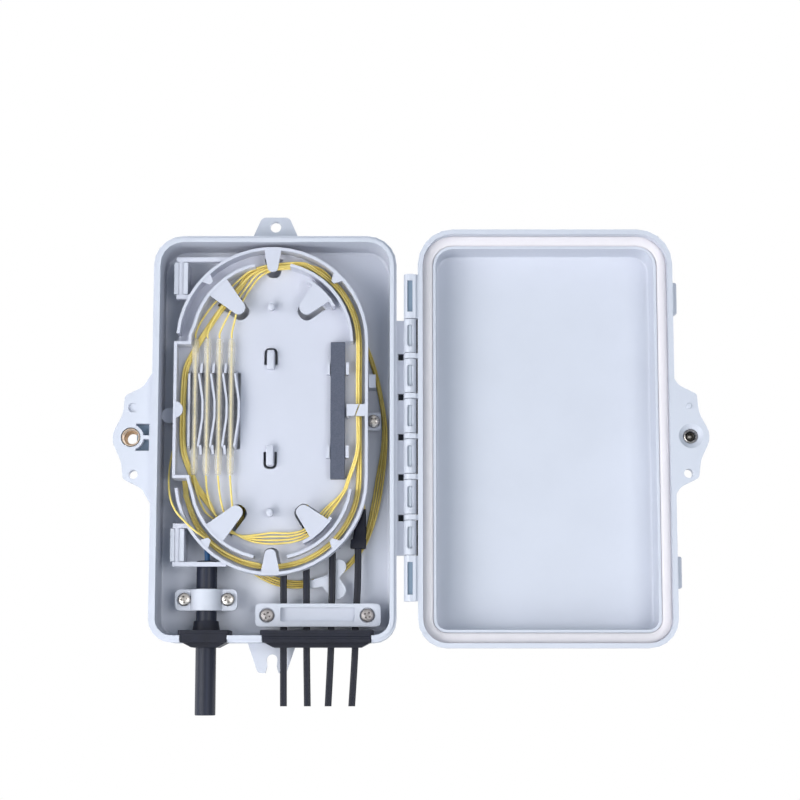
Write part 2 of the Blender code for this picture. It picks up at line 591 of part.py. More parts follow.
for v, angle in ((high_v, 136), (high_v, 45), (low_v, 225), (low_v, -45.5)):
    tab(tray, "tooth", v, angle, TRAY_RADIUS - 0.0006, TRAY_RADIUS - 0.0048, 0.0030, 0.0008, window=False)
half_disc = arc(left_u, TRAY_V, 0.0036, -90, 90, 10)
join(tray, plate("left_tab", half_disc, TRAY_TOP - HOLD_DOWN - 0.0001, TRAY_TOP - 0.0001))
gate_low = TRAY_V - 0.0029
gate_high = TRAY_V + 0.0023
rim_u = TRAY_U + TRAY_RADIUS
gate_post = box(rim_u - 0.00935, gate_low, rim_u - 0.00805, gate_high)
join(tray, plate("gate_post", gate_post, stand, TRAY_TOP - 0.0003))
gate_in = [Vector((rim_u - back, v)) for back, v in (
    (0.00915, gate_low), (0.00595, gate_low), (0.00405, gate_high), (0.00915, gate_high))]
gate_out = [Vector((rim_u - back, v)) for back, v in (
    (0.00535, gate_low), (0.00055, gate_low), (0.00055, gate_high), (0.00345, gate_high))]
join(tray, plate("gate_inner", gate_in, TRAY_TOP - HOLD_DOWN, TRAY_TOP - 0.0001))
join(tray, plate("gate_outer", gate_out, TRAY_TOP - HOLD_DOWN, TRAY_TOP - 0.0001))
comb_top = TRAY_DECK + 0.0045
straight = [Vector((COMB_U, comb_high + 0.0008)), Vector((COMB_U, comb_low - 0.0008))]
join(tray, wall("comb_rib", straight, RIB, TRAY_LOW + 0.0002, comb_top))
for k in range(4):
    u = COMB_U + 0.0045 + RIB_PITCH * k
    bowed = [Vector((u + bow, v)) for bow, v in (
        (0, comb_high + 0.0008), (RIB_BOW, TRAY_V + 0.0045),
        (RIB_BOW, TRAY_V - 0.0030), (0, comb_low - 0.0008))]
    join(tray, wall("comb_rib", bowed, RIB, TRAY_LOW + 0.0002, comb_top))
for k in range(3):
    u = sleeves[k] + RIB_PITCH * 0.55
    for v in (comb_high + 0.0024, comb_low - 0.0016):
        post = box(u - 0.0005, v - 0.0012, u + 0.0005, v + 0.0012)
        join(tray, plate("comb_post", post, stand, comb_top - 0.0004))
for v, open_to in ((TRAY_V + 0.815 * TRAY_HALF, -1), (TRAY_V - 0.706 * TRAY_HALF, 1)):
    slot = rounded([(-0.0022 + du, v + open_to * dv, radius) for du, dv, radius in (
        (-0.0024, 0.0036, 0), (-0.0024, -0.0034, 0.0017), (0.0024, -0.0034, 0.0017), (0.0024, 0.0036, 0))], 3)
    cut(tray, wall("tongue_slot", slot, 0.0012, TRAY_LOW - 0.001, TRAY_DECK + 0.001))
    low, high = sorted((v + open_to * 0.0004, v + open_to * 0.0052))
    join(tray, plate("tongue_hook", box(-0.0036, low, -0.0008, high), stand, TRAY_DECK + 0.0014))
for v in (high_v + 0.40 * TRAY_RADIUS, low_v - 0.353 * TRAY_RADIUS):
    join(tray, rod("tray_post", -0.0020, v, 0.0015, stand, comb_top, sides=14))
foam_right = TRAY_U + GUIDE_RADIUS - 0.00355
foam_left = foam_right - 0.0064
for v in (TRAY_V + 0.62 * TRAY_HALF, TRAY_V - 0.60 * TRAY_HALF):
    for u0, u1 in ((foam_left - 0.0017, foam_left - GAP), (foam_right + GAP, foam_right + 0.0017)):
        join(tray, plate("foam_clip", box(u0, v - 0.0027, u1, v + 0.0027), stand, comb_top))
for side in (1, -1):
    near = TRAY_V + side * ARM_NEAR
    far = TRAY_V + side * ARM_FAR
    for v, share in ((near, ARM_NEAR_SHARE), (far, ARM_FAR_SHARE)):
        reach_u = TRAY_U - TRAY_RADIUS * math.sqrt(1 - share * share) + 0.0006
        arm = box(TRAY_AXIS_U - 0.0019, v - ARM_THICK / 2, reach_u, v + ARM_THICK / 2)
        join(tray, plate("hinge_arm", arm, FEEDER_W + FEEDER + GAP, TRAY_AXIS_W + 0.0019))
    low, high = sorted((near, far))
    join(tray, rod("hinge_bar", TRAY_AXIS_U, TRAY_AXIS_W, TRAY_PIN, low, high, "v", sides=14))
part(tray, tray_plastic, tray_axis)

sleeve_w = TRAY_DECK + 0.0030
sleeve_high = high_v + 0.0019
sleeve_low = sleeve_high - SLEEVE_LENGTH
for k, u in enumerate(sleeves):
    made = rod(f"splice_sleeve_{k + 1}", u, sleeve_w, SLEEVE, sleeve_low, sleeve_high, "v", sides=14)
    part(made, clear, tray_axis)
strip = box(foam_left, low_v + 0.0002, foam_right, high_v + 0.0004)
part(plate("foam_strip", strip, TRAY_DECK + GAP, TRAY_DECK + 0.0042), foam, tray_axis)


# Fibres: laps round a stadium, counted in quarters from the foot of its right side
def lap(turn, reach, centre, half, flat):
    share = turn % 1
    angle = math.pi * share
    quarter = int(turn // 1) % 4
    u, v = centre
    if quarter == 0:
        return Vector((u + reach, v - half + 2 * half * share))
    if quarter == 1:
        return Vector((u + reach * math.cos(angle), v + half + (reach - flat) * math.sin(angle)))
    if quarter == 2:
        return Vector((u - reach, v + half - 2 * half * share))
    return Vector((u - reach * math.cos(angle), v - half - (reach - flat) * math.sin(angle)))


def between(keys, turn):
    for (start, first), (end, last) in zip(keys, keys[1:]):
        if turn <= end:
            share = max(turn - start, 0) / (end - start)
            return first + (last - first) * share * share * (3 - 2 * share)
    return keys[-1][1]


def route(first, last, reaches, heights, centre, half, flat=0.0):
    turns = {first, last}
    turns.update(turn for turn, _ in reaches if first < turn < last)
    for quarter in range(int(first), int(last) + 1):
        steps = ARC_STEPS if quarter % 2 else SIDE_STEPS
        for turn in (quarter + i / steps for i in range(steps)):
            if first < turn < last and min(abs(turn - other) for other in turns) > 0.04:
                turns.add(turn)
    points = []
    for turn in sorted(turns):
        u, v = lap(turn, between(reaches, turn), centre, half, flat)
        points.append(Vector((u, v, between(heights, turn))))
    return points


def least_gap(points, thick):
    fine = []
    for start, end in zip(points, points[1:]):
        count = max(int((end - start).length / 0.001), 1)
        fine += [start.lerp(end, i / count) for i in range(count)]
    spans = (
        (a - b).length for i, a in enumerate(fine) for b in fine[i + 12:])
    return min(spans, default=1.0) - thick


first_w = TRAY_DECK + FIRST_LAYER
second_w = first_w + LAYER
for k in range(4):
    lane = GUIDE_RADIUS + 0.0010 + LANE_PITCH * k
    entry_lane = lane + 0.0009 - 0.00015 * k
    inner = GUIDE_RADIUS - 0.0021 - LANE_PITCH * (3 - k)
    beside = TRAY_U - COMB_U + RIB / 2 + 0.0009 + 0.0010 * k
    late = 0.015 * (3 - k)
    pair = k // 2
    third_w = second_w + LAYER * (k % 2)
    sleeve = 3 - k
    low_lane = GUIDE_RADIUS - 0.0058 - 0.0011 * (3 - k)
    reaches = (
        (2.8, entry_lane), (3.0, entry_lane), (3.05, lane), (5.43, lane), (5.57, inner - 0.0006),
        (5.78, inner - 0.0022), (5.96, inner), (6.02 + late, inner), (6.13 + late, beside),
        (6.86 - late, beside), (6.97 - late, inner), (7.02, inner), (7.25, inner - 0.0018),
        (7.5, GUIDE_RADIUS - 0.0074 - 0.0016 * (3 - k)), (7.72, low_lane), (7.83, low_lane),
        (7.94, GUIDE_RADIUS - 0.0036 + LANE_PITCH * (pair - 1)),
        (8.0, GUIDE_RADIUS - 0.0017 + LANE_PITCH * (pair - 1)),
        (8.22, GUIDE_RADIUS + 0.0016 + LANE_PITCH * pair), (9.43, GUIDE_RADIUS + 0.0016 + LANE_PITCH * pair),
        (9.57, GUIDE_RADIUS - 0.0023 + LANE_PITCH * (pair - 1)),
        (9.86, min(TRAY_U - sleeves[sleeve], GUIDE_RADIUS - 0.0023)))
    heights = (
        (2.985, TRAY_LOW - 0.0014), (3.065, first_w), (7.30, first_w), (7.62, third_w),
        (9.70, third_w), (9.86, sleeve_w))
    points = route(2.94, 9.86, reaches, heights, (TRAY_U, TRAY_V), TRAY_HALF)
    end_u = sleeves[sleeve]
    points += [Vector((end_u, sleeve_high + 0.0024, sleeve_w)), Vector((end_u, sleeve_high + GAP, sleeve_w))]
    print("tray fibre", k + 1, "least gap to itself", round(least_gap(points, 2 * FIBRE), 5))
    tube(f"tray_fibre_{k + 1}", points, FIBRE, yellow, tray_axis)

for k in range(4):
    end = sleeve_low - GAP
    under = TRAY_LOW - GAP - FIBRE - 0.0001
    u = sleeves[k]
    dive_u = TRAY_U - 0.463 * TRAY_RADIUS + 0.0021 * k
    dive_v = low_v - 0.4076 * TRAY_RADIUS + 0.0007 * k
    below_v = low_v - 0.4123 * TRAY_RADIUS + 0.0013 * k
    points = [Vector(p) for p in (
        (u, end, sleeve_w), (u, end - 0.0012, sleeve_w), (u + 0.0006, end - 0.0060, sleeve_w),
        (dive_u - 0.0014, dive_v + 0.0018, sleeve_w - 0.0006), (dive_u, dive_v, TRAY_DECK),
        (dive_u - 0.0012, below_v, under), (TRAY_U - 0.6576 * TRAY_RADIUS, below_v, under),
        (TRAY_U - 0.7879 * TRAY_RADIUS, below_v + 0.0026, under))]
    tube(f"feeder_fibre_{k + 1}", points, FIBRE, yellow, tray_axis)

drop_u = [[DROPS_U + offset for offset in line] for line in (
    (-0.01485, -0.01505, -0.01525), (-0.00445, -0.00495, -0.00525),
    (0.00455, 0.00575, 0.00615), (0.01485, 0.01635, 0.01745))]
tips = [DROPS_U + offset for offset in (-0.01515, -0.00495, 0.00665, 0.02005)]
base_w = FLOOR + 0.0016
for k in range(4):
    far = edge + BASE_PITCH * k
    reaches = (
        (0, tips[k]), (1.0, edge - 0.0335 + 0.0042 * k), (1.6, edge - 0.0320 + 0.0042 * k),
        (2.1, far - 0.0205), (2.9, far - 0.0205), (3.5, far - 0.0105), (4.05, far - 0.0072),
        (5.0, far - 0.0072), (5.5, far - 0.0105), (6.0, far - 0.0141), (6.5, far - 0.0143),
        (6.86, far - 0.0158))
    heights = ((0, 0.0077), (0.8, base_w), (6.70, base_w), (6.86, TRAY_LOW - 0.0027))
    points = route(0, 6.86, reaches, heights, (0, 0.0040), top - 0.0612, 0.0035)
    start = [Vector((tips[k], BOOT_HIGH + rise, 0.0077)) for rise in (GAP, 0.0014)]
    points = start + points
    print("base fibre", k + 1, "least gap to itself", round(least_gap(points, 2 * FIBRE), 5))
    tube(f"base_fibre_{k + 1}", points, FIBRE, yellow)

# Feeder: cable, loose tube, grommet and clamp
feeder = rod("feeder_cable", FEEDER_U, FEEDER_W, FEEDER, FEEDER_END, FEEDER_TOP, "v", sides=24)
part(feeder, jacket)
loose = [Vector(p) for p in (
    (FEEDER_U, FEEDER_TOP + GAP, FEEDER_W - 0.0006), (FEEDER_U, FEEDER_TOP + 0.0028, FEEDER_W - 0.0009),
    (FEEDER_U - 0.0007, FEEDER_TOP + 0.0095, 0.0083), (FEEDER_U - 0.0019, FEEDER_TOP + 0.0140, 0.0078),
    (FEEDER_U - 0.0039, FEEDER_TOP + 0.0180, 0.0076), (FEEDER_U - 0.0064, FEEDER_TOP + 0.0210, 0.0076))]
tube("loose_tube", loose, TUBE, blue, resolution=2)


def grommet(name, left, right, collar=None):
    seal_top = BASE_DEPTH + TONGUE_HEIGHT - GAP
    inside = -top + WALL
    made = plate(name, box(left + GAP, grommet_low + GAP, right - GAP, seal_top), -top, inside + 0.0008, "v")
    wide = box(left - 0.0008, FLOOR + 0.0018, right + 0.0008, seal_top - 0.0001, 0.0012)
    join(made, plate(name + "_flange", wide, inside + GAP, inside + GAP + 0.0020, "v"))
    taper = [Vector(p) for p in (
        (left + GAP, -top + 0.0002), (left + 0.0045, -top - 0.0020),
        (right - 0.0045, -top - 0.0020), (right - GAP, -top + 0.0002))]
    join(made, plate(name + "_nose", taper, grommet_low + GAP + 0.0001, EAR_TOP - 0.0010))
    return made, inside + GAP + 0.0020


seal, face = grommet("feeder_grommet", *entries["feeder"])
join(seal, rod("collar", FEEDER_U, FEEDER_W, 0.0061, face - 0.0004, face + 0.0042, "v", end=0.0054))
cut(seal, rod("feeder_bore", FEEDER_U, FEEDER_W, FEEDER + GAP, -0.2, 0, "v", sides=24))
part(seal, rubber)
seal, face = grommet("drop_grommet", *entries["drop"])
for outside, inside, inner in drop_u:
    slot = box(inside - DROP_WIDTH / 2 - GAP, DROP_W - DROP_THICK / 2 - GAP,
               inside + DROP_WIDTH / 2 + GAP, DROP_W + DROP_THICK / 2 + GAP)
    cut(seal, plate("drop_slot", slot, -0.2, 0, "v"))
part(seal, rubber)

feeder_lift = pivot("feeder_clamp_lift", FEEDER_U, feeder_line, feeder_seat, root)
drop_lift = pivot("drop_clamp_lift", DROPS_U, drop_line, drop_seat, root)


def screw(name, u, v, seat, grip, holder):
    low = seat + grip + GAP
    made = rod(name, u, v, SCREW_HEAD, low, low + 0.0012, sides=14)
    dome = rod("screw_dome", u, v, SCREW_HEAD - 0.00002, low + 0.0011, low + 0.0020, end=0.0018, sides=14)
    join(made, dome)
    join(made, rod("screw_shank", u, v, SCREW, seat - SCREW_DEPTH, low + 0.0005, sides=8))
    for wide, tall in ((0.0016, 0.00035), (0.00035, 0.0016)):
        cross = box(u - wide, v - tall, u + wide, v + tall)
        cut(made, plate("screw_cross", cross, low + 0.0008, low + 0.004))
    part(made, steel, holder)


arch = FEEDER + GAP
hat = arc(FEEDER_U, FEEDER_W, arch, 180, 0, 14)
hat = [Vector((FEEDER_U - 0.0138, feeder_seat)), Vector((FEEDER_U - arch, feeder_seat))] + hat
hat += [Vector((FEEDER_U + arch, feeder_seat)), Vector((FEEDER_U + 0.0138, feeder_seat))]
flat = feeder_seat + 0.0022
turn = math.degrees(math.asin((flat - FEEDER_W) / 0.0071))
hat.append(Vector((FEEDER_U + 0.0138, flat)))
hat += arc(FEEDER_U, FEEDER_W, 0.0071, turn, 180 - turn, 12)
hat.append(Vector((FEEDER_U - 0.0138, flat)))
saddle = plate("feeder_clamp", hat, feeder_line - 0.0050, feeder_line + 0.0046, "v")
corners = box(FEEDER_U - 0.0137, feeder_line - 0.0049, FEEDER_U + 0.0137, feeder_line + 0.0045, 0.0020)
keep = plate("saddle_plan", corners, 0.005, 0.05)
combine("INTERSECT", saddle, [keep])
for u, v in feeder_screws:
    cut(saddle, rod("saddle_hole", u, v, SCREW + GAP, 0, 0.05, sides=12))
part(saddle, plastic, feeder_lift)
for k, (u, v) in enumerate(feeder_screws):
    screw(f"feeder_screw_{k + 1}", u, v, feeder_seat, 0.0022, feeder_lift)

# Drops: cables, boots, clamp
def sweep(name, stations, section, height):
    mesh = bmesh.new()
    rings = [[mesh.verts.new((u + a, v, height + b)) for a, b in section] for u, v in stations]
    for low, high in zip(rings, rings[1:]):
        for i in range(len(section)):
            mesh.faces.new((low[i - 1], low[i], high[i], high[i - 1]))
    mesh.faces.new(rings[0])
    mesh.faces.new(rings[-1])
    return shape(name, mesh)


half_w = DROP_WIDTH / 2
half_t = DROP_THICK / 2
section = [(half_w, 0.4 * half_t), (0.75 * half_w, half_t), (0, 0.75 * half_t)]
section += [(-u, w) for u, w in section[-2::-1]]
section += [(u, -w) for u, w in section[::-1]]
for k, (outside, inside, inner) in enumerate(drop_u):
    line = [
        (outside, DROP_END), (inside, -top - 0.0058), (inside, 0.0172 - top), (inner, 0.0292 - top),
        (inner, BOOT_LOW - GAP)]
    part(sweep(f"drop_cable_{k + 1}", line, section, DROP_W), jacket)
    lean = tips[k] - inner
    boot = plate(f"fan_out_boot_{k + 1}", rounded([
        (inner - 0.0031, BOOT_LOW, 0.0008), (inner + 0.0031, BOOT_LOW, 0.0008),
        (inner + 0.0031 + lean * 0.3, BOOT_LOW + 0.0055, 0.002), (tips[k] + 0.0010, BOOT_HIGH, 0.0004),
        (tips[k] - 0.0010, BOOT_HIGH, 0.0004), (inner - 0.0031 + lean * 0.3, BOOT_LOW + 0.0055, 0.002)], 2),
        0.0054, 0.0101, soft_high=0.0006)
    part(boot, rubber)
bar_plan = box(DROPS_U - 0.02715, drop_line - 0.0049, DROPS_U + 0.02745, drop_line + 0.0051, 0.0018)
bar = plate("drop_clamp", bar_plan, drop_seat, drop_seat + 0.0036)
recess = box(DROPS_U - 0.01625, drop_line - 0.0026, DROPS_U + 0.01615, drop_line + 0.0034, 0.0006)
cut(bar, plate("bar_recess", recess, drop_seat + 0.0022, 0.05))
for u, v in drop_screws:
    cut(bar, rod("bar_hole", u, v, SCREW + GAP, 0, 0.05, sides=12))
    cut(bar, rod("bar_counterbore", u, v, SCREW_HEAD + 0.0005, drop_seat + 0.0022, 0.05, sides=20))
part(bar, plastic, drop_lift)
for k, (u, v) in enumerate(drop_screws):
    screw(f"drop_screw_{k + 1}", u, v, drop_seat, 0.0022, drop_lift)

# Side bracket
u, v = bracket_screw
bracket_plan = box(u - 0.0070, v - 0.0040, u + 0.0032, v + 0.0039, 0.0010)
bracket = plate("side_bracket", bracket_plan, bracket_seat, bracket_seat + 0.0018)
cut(bracket, rod("bracket_hole", u, v, SCREW + GAP, 0, 0.05, sides=12))
part(bracket, plastic)
screw("bracket_screw", u, v, bracket_seat, 0.0018, root)
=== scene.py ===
import math

import bmesh
import bpy
from mathutils import Matrix, Vector


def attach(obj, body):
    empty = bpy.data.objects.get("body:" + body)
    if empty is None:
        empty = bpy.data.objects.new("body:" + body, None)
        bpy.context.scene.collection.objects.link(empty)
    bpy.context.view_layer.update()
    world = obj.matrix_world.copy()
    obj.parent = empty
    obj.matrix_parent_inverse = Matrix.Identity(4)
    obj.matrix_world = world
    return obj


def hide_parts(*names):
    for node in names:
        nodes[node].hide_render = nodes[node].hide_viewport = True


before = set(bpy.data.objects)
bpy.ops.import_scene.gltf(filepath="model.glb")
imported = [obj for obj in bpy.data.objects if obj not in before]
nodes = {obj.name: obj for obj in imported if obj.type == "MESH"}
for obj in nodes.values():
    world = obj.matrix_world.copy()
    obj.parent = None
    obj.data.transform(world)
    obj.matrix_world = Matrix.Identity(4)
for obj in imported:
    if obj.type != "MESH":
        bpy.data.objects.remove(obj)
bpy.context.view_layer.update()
scene = bpy.context.scene
scene.view_settings.view_transform = "Standard"
print("frame loaded:", len(nodes), "nodes")


def wallPoint(u, v, w):  # u right, v up the wall, w off the wall
    return Vector((u, -w, v))


# camera at the photograph's place, a little low and looking up
studio = {
    "eye": (0.0550, -0.8954, -0.1066), "pitch": 98.0, "lens": 90.72, "sensor": 36.0, "nearest": 0.05,
    "aim": (0.05, 0, 0), "sky": 0.30, "skyTint": (0.60, 0.83, 1.0),
    "floorMiddle": 0.055, "floorDrop": -1.40, "floorSize": 10.0, "floorGlow": 0.72,
    "lamps": (  # name, place, size, power
        ("keyLamp", (-0.60, -1.10, -0.35), (0.6, 0.6), 5.2),
        ("sideLamp", (-0.95, -0.80, 0.00), (0.6, 0.6), 6.4),
        ("lowLamp", (-0.60, -0.80, -0.75), (0.6, 0.6), 4.3),
        ("fillLamp", (0.55, -1.10, -0.10), (0.6, 0.6), 5.0),
        ("topLamp", (0.05, 0.25, 1.15), (1.1, 0.7), 3.0),
        ("backLamp", (0.05, 1.15, 0.30), (1.2, 0.8), 6.0),
        ("leftEdgeLamp", (-1.20, 0.35, 0.15), (0.8, 0.8), 5.0),
        ("rightEdgeLamp", (1.30, 0.35, 0.15), (0.8, 0.8), 5.0)),
}

eye = bpy.data.cameras.new("photoCamera")
eye.lens = studio["lens"]
eye.sensor_width = studio["sensor"]
eye.clip_start = studio["nearest"]
camera = bpy.data.objects.new("photoCamera", eye)
camera.location = studio["eye"]
camera.rotation_euler = (math.radians(studio["pitch"]), 0, 0)
scene.collection.objects.link(camera)
scene.camera = camera


def softLamp(name, place, size, power):
    data = bpy.data.lights.new(name, "AREA")
    data.shape = "RECTANGLE"
    data.size, data.size_y = size
    data.energy = power
    lamp = bpy.data.objects.new(name, data)
    lamp.location = place
    lamp.rotation_euler = (Vector(studio["aim"]) - Vector(place)).to_track_quat("-Z", "Y").to_euler()
    scene.collection.objects.link(lamp)


for lampFacts in studio["lamps"]:
    softLamp(*lampFacts)


def seenDirectly(tree):  # looked at by the camera, or through a reflection or a clear piece
    rays = tree.nodes.new("ShaderNodeLightPath")
    seen = rays.outputs["Is Camera Ray"]
    for kind in ("Is Glossy Ray", "Is Transmission Ray"):
        either = tree.nodes.new("ShaderNodeMath")
        either.operation = "MAXIMUM"
        tree.links.new(seen, either.inputs[0])
        tree.links.new(rays.outputs[kind], either.inputs[1])
        seen = either.outputs[0]
    return seen


world = bpy.data.worlds.new("whiteRoom")
scene.world = world
world.use_nodes = True
room = world.node_tree
room.nodes.clear()
roomOut = room.nodes.new("ShaderNodeOutputWorld")
plainSky = room.nodes.new("ShaderNodeBackground")
plainSky.inputs["Color"].default_value = (*studio["skyTint"], 1)
plainSky.inputs["Strength"].default_value = studio["sky"]
whiteSky = room.nodes.new("ShaderNodeBackground")
whiteSky.inputs["Color"].default_value = (1, 1, 1, 1)
whiteSky.inputs["Strength"].default_value = 1.0
choose = room.nodes.new("ShaderNodeMixShader")
room.links.new(seenDirectly(room), choose.inputs[0])
room.links.new(plainSky.outputs[0], choose.inputs[1])
room.links.new(whiteSky.outputs[0], choose.inputs[2])
room.links.new(choose.outputs[0], roomOut.inputs["Surface"])


def meshObject(name, mesh, material, smooth=40.0):
    bmesh.ops.recalc_face_normals(mesh, faces=mesh.faces)
    data = bpy.data.meshes.new(name)
    mesh.to_mesh(data)
    mesh.free()
    if smooth:
        data.polygons.foreach_set("use_smooth", [True] * len(data.polygons))
        data.set_sharp_from_angle(angle=math.radians(smooth))
    made = bpy.data.objects.new(name, data)
    scene.collection.objects.link(made)
    data.materials.append(material)
    return made


def dress(piece, body, slot, *stands):
    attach(piece, body)
    if stands:
        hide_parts(*stands)
    return piece


print("studio ready")


# finishes
def finish(name):
    made = bpy.data.materials.new(name)
    made.use_nodes = True
    tree = made.node_tree
    shader = tree.nodes["Principled BSDF"]
    coords = tree.nodes.new("ShaderNodeTexCoord")
    return made, tree, shader, coords


def scaled(tree, coords, size):
    mapping = tree.nodes.new("ShaderNodeMapping")
    mapping.inputs["Scale"].default_value = size
    tree.links.new(coords.outputs["Object"], mapping.inputs["Vector"])
    return mapping.outputs["Vector"]


def noise(tree, vector, scale, detail=3.0, rough=0.5):
    made = tree.nodes.new("ShaderNodeTexNoise")
    made.inputs["Scale"].default_value = scale
    made.inputs["Detail"].default_value = detail
    made.inputs["Roughness"].default_value = rough
    tree.links.new(vector, made.inputs["Vector"])
    return made.outputs["Fac"]


def roughen(tree, shader, value, low, high):
    made = tree.nodes.new("ShaderNodeMapRange")
    made.inputs["From Min"].default_value = 0.3
    made.inputs["From Max"].default_value = 0.7
    made.inputs["To Min"].default_value = low
    made.inputs["To Max"].default_value = high
    tree.links.new(value, made.inputs["Value"])
    tree.links.new(made.outputs["Result"], shader.inputs["Roughness"])


def paint(tree, shader, value, *stops):
    made = tree.nodes.new("ShaderNodeValToRGB")
    ramp = made.color_ramp
    while len(ramp.elements) < len(stops):
        ramp.elements.new(0.5)
    for spot, (place, tone) in zip(ramp.elements, stops):
        spot.position = place
        spot.color = (*tone, 1)
    tree.links.new(value, made.inputs["Fac"])
    tree.links.new(made.outputs["Color"], shader.inputs["Base Color"])


def toned(tone, share):
    return tuple(min(c * share, 1) for c in tone)


def grain(tree, shader, value, strength, depth):
    made = tree.nodes.new("ShaderNodeBump")
    made.inputs["Strength"].default_value = strength
    made.inputs["Distance"].default_value = depth
    tree.links.new(value, made.inputs["Height"])
    tree.links.new(made.outputs["Normal"], shader.inputs["Normal"])


def mouldedPlastic(name, tone, roughLow, roughHigh):  # satin moulding with a fine spark-eroded grain
    made, tree, shader, coords = finish(name)
    drift = noise(tree, coords.outputs["Object"], 34.0, 4.0, 0.55)
    paint(tree, shader, drift, (0.32, toned(tone, 0.978)), (0.52, tone), (0.70, toned(tone, 1.015)))
    fine = noise(tree, coords.outputs["Object"], 2300.0, 2.0, 0.6)
    wide = noise(tree, coords.outputs["Object"], 420.0, 3.0, 0.5)
    roughen(tree, shader, wide, roughLow, roughHigh)
    grain(tree, shader, fine, 0.10, 0.00012)
    shader.inputs["Specular IOR Level"].default_value = 0.30
    return made


def softRubber(name, tone, roughLow, roughHigh, patch=0.25):  # patch: how far the tone wanders
    made, tree, shader, coords = finish(name)
    drift = noise(tree, coords.outputs["Object"], 160.0, 5.0, 0.6)
    dim, pale = toned(tone, 1 - patch), toned(tone, 1 + 1.4 * patch)
    paint(tree, shader, drift, (0.3, dim), (0.5, tone), (0.72, pale))
    roughen(tree, shader, drift, roughLow, roughHigh)
    fine = noise(tree, coords.outputs["Object"], 1500.0, 3.0, 0.65)
    grain(tree, shader, fine, patch, 0.0002)
    shader.inputs["Specular IOR Level"].default_value = 0.22
    return made


def drawnJacket(name, tone):  # extruded sheath with faint lines along its length
    made, tree, shader, coords = finish(name)
    streaks = noise(tree, scaled(tree, coords, (1400.0, 1400.0, 22.0)), 1.0, 3.0, 0.6)
    paint(tree, shader, streaks, (0.3, toned(tone, 0.7)), (0.5, tone), (0.75, toned(tone, 1.5)))
    roughen(tree, shader, streaks, 0.34, 0.52)
    grain(tree, shader, streaks, 0.18, 0.00015)
    shader.inputs["Specular IOR Level"].default_value = 0.24
    return made


def platedSteel(name, tone, roughLow, roughHigh):
    made, tree, shader, coords = finish(name)
    brushed = noise(tree, coords.outputs["Object"], 900.0, 4.0, 0.65)
    paint(tree, shader, brushed, (0.3, toned(tone, 0.8)), (0.7, tone))
    roughen(tree, shader, brushed, roughLow, roughHigh)
    grain(tree, shader, brushed, 0.06, 0.0001)
    shader.inputs["Metallic"].default_value = 1.0
    return made


def bufferCoat(name, tone, deep):  # smooth coloured fibre coating
    made, tree, shader, coords = finish(name)
    drift = noise(tree, coords.outputs["Object"], 240.0, 3.0, 0.5)
    paint(tree, shader, drift, (0.3, deep), (0.6, tone))
    roughen(tree, shader, drift, 0.30, 0.46)
    return made


def shrinkTube(name, tone, pale):  # milky heat-shrink, clear enough to show the strand inside
    made, tree, shader, coords = finish(name)
    cloud = noise(tree, scaled(tree, coords, (500.0, 500.0, 120.0)), 1.0, 3.0, 0.55)
    paint(tree, shader, cloud, (0.3, tone), (0.7, pale))
    roughen(tree, shader, cloud, 0.20, 0.36)
    shader.inputs["Alpha"].default_value = 0.30
    return made


def cellFoam(name, tone):
    made, tree, shader, coords = finish(name)
    cells = tree.nodes.new("ShaderNodeTexVoronoi")
    cells.inputs["Scale"].default_value = 1500.0
    tree.links.new(coords.outputs["Object"], cells.inputs["Vector"])
    pores = cells.outputs["Distance"]
    paint(tree, shader, pores, (0.1, toned(tone, 0.84)), (0.45, tone), (0.8, toned(tone, 1.10)))
    grain(tree, shader, pores, 0.20, 0.0002)
    rub = noise(tree, coords.outputs["Object"], 300.0, 4.0, 0.6)
    roughen(tree, shader, rub, 0.78, 0.95)
    return made


casePlastic = mouldedPlastic("casePlastic", (0.600, 0.617, 0.690), 0.40, 0.54)
trayPlastic = mouldedPlastic("trayPlastic", (0.582, 0.592, 0.672), 0.42, 0.56)
sealSilicone = softRubber("sealSilicone", (0.763, 0.722, 0.745), 0.5, 0.6, 0.015)
blackRubber = softRubber("blackRubber", (0.0090, 0.0104, 0.0190), 0.40, 0.58)
cableJacket = drawnJacket("cableJacket", (0.0120, 0.0150, 0.0290))
dropJacket = drawnJacket("dropJacket", (0.0070, 0.0084, 0.0170))
platedMetal = platedSteel("platedMetal", (0.44, 0.42, 0.40), 0.22, 0.38)
dullPlate = platedSteel("dullPlate", (0.36, 0.340, 0.34), 0.50, 0.62)
# darker plated steel for the lock bolt, painted shade for its end inside the retainer ring
paintedShadeSteel = platedSteel("paintedShadeSteel", (0.26, 0.25, 0.24), 0.18, 0.30)
brightInsert = platedSteel("brightInsert", (0.66, 0.54, 0.43), 0.26, 0.36)
palePin = mouldedPlastic("palePin", (0.49, 0.53, 0.59), 0.36, 0.46)
# slate-blue plastic, painted shade for the ear pocket and the hinge end panes
paintedShadeSlate = mouldedPlastic("paintedShadeSlate", (0.205, 0.272, 0.352), 0.45, 0.6)
# near-black plastic, painted shade for the hinge slots and the hinge seam
paintedShadePlastic = mouldedPlastic("paintedShadePlastic", (0.028, 0.033, 0.042), 0.6, 0.75)
yellowCoat = bufferCoat("yellowCoat", (0.900, 0.715, 0.215), (0.840, 0.640, 0.160))
# a darker copy of the yellow fibre coat, painted shade for the base fibres in the trench beside the tray
paintedShadeFibreCoat = bufferCoat("paintedShadeFibreCoat", (0.660, 0.510, 0.135), (0.580, 0.430, 0.100))
blueCoat = bufferCoat("blueCoat", (0.020, 0.105, 0.270), (0.014, 0.075, 0.200))
shrinkClear = shrinkTube("shrinkClear", (0.84, 0.79, 0.68), (0.88, 0.84, 0.75))
slateFoam = cellFoam("slateFoam", (0.086, 0.095, 0.132))
yarnCore = bufferCoat("yarnCore", (0.50, 0.40, 0.16), (0.36, 0.28, 0.10))
print("finishes ready")

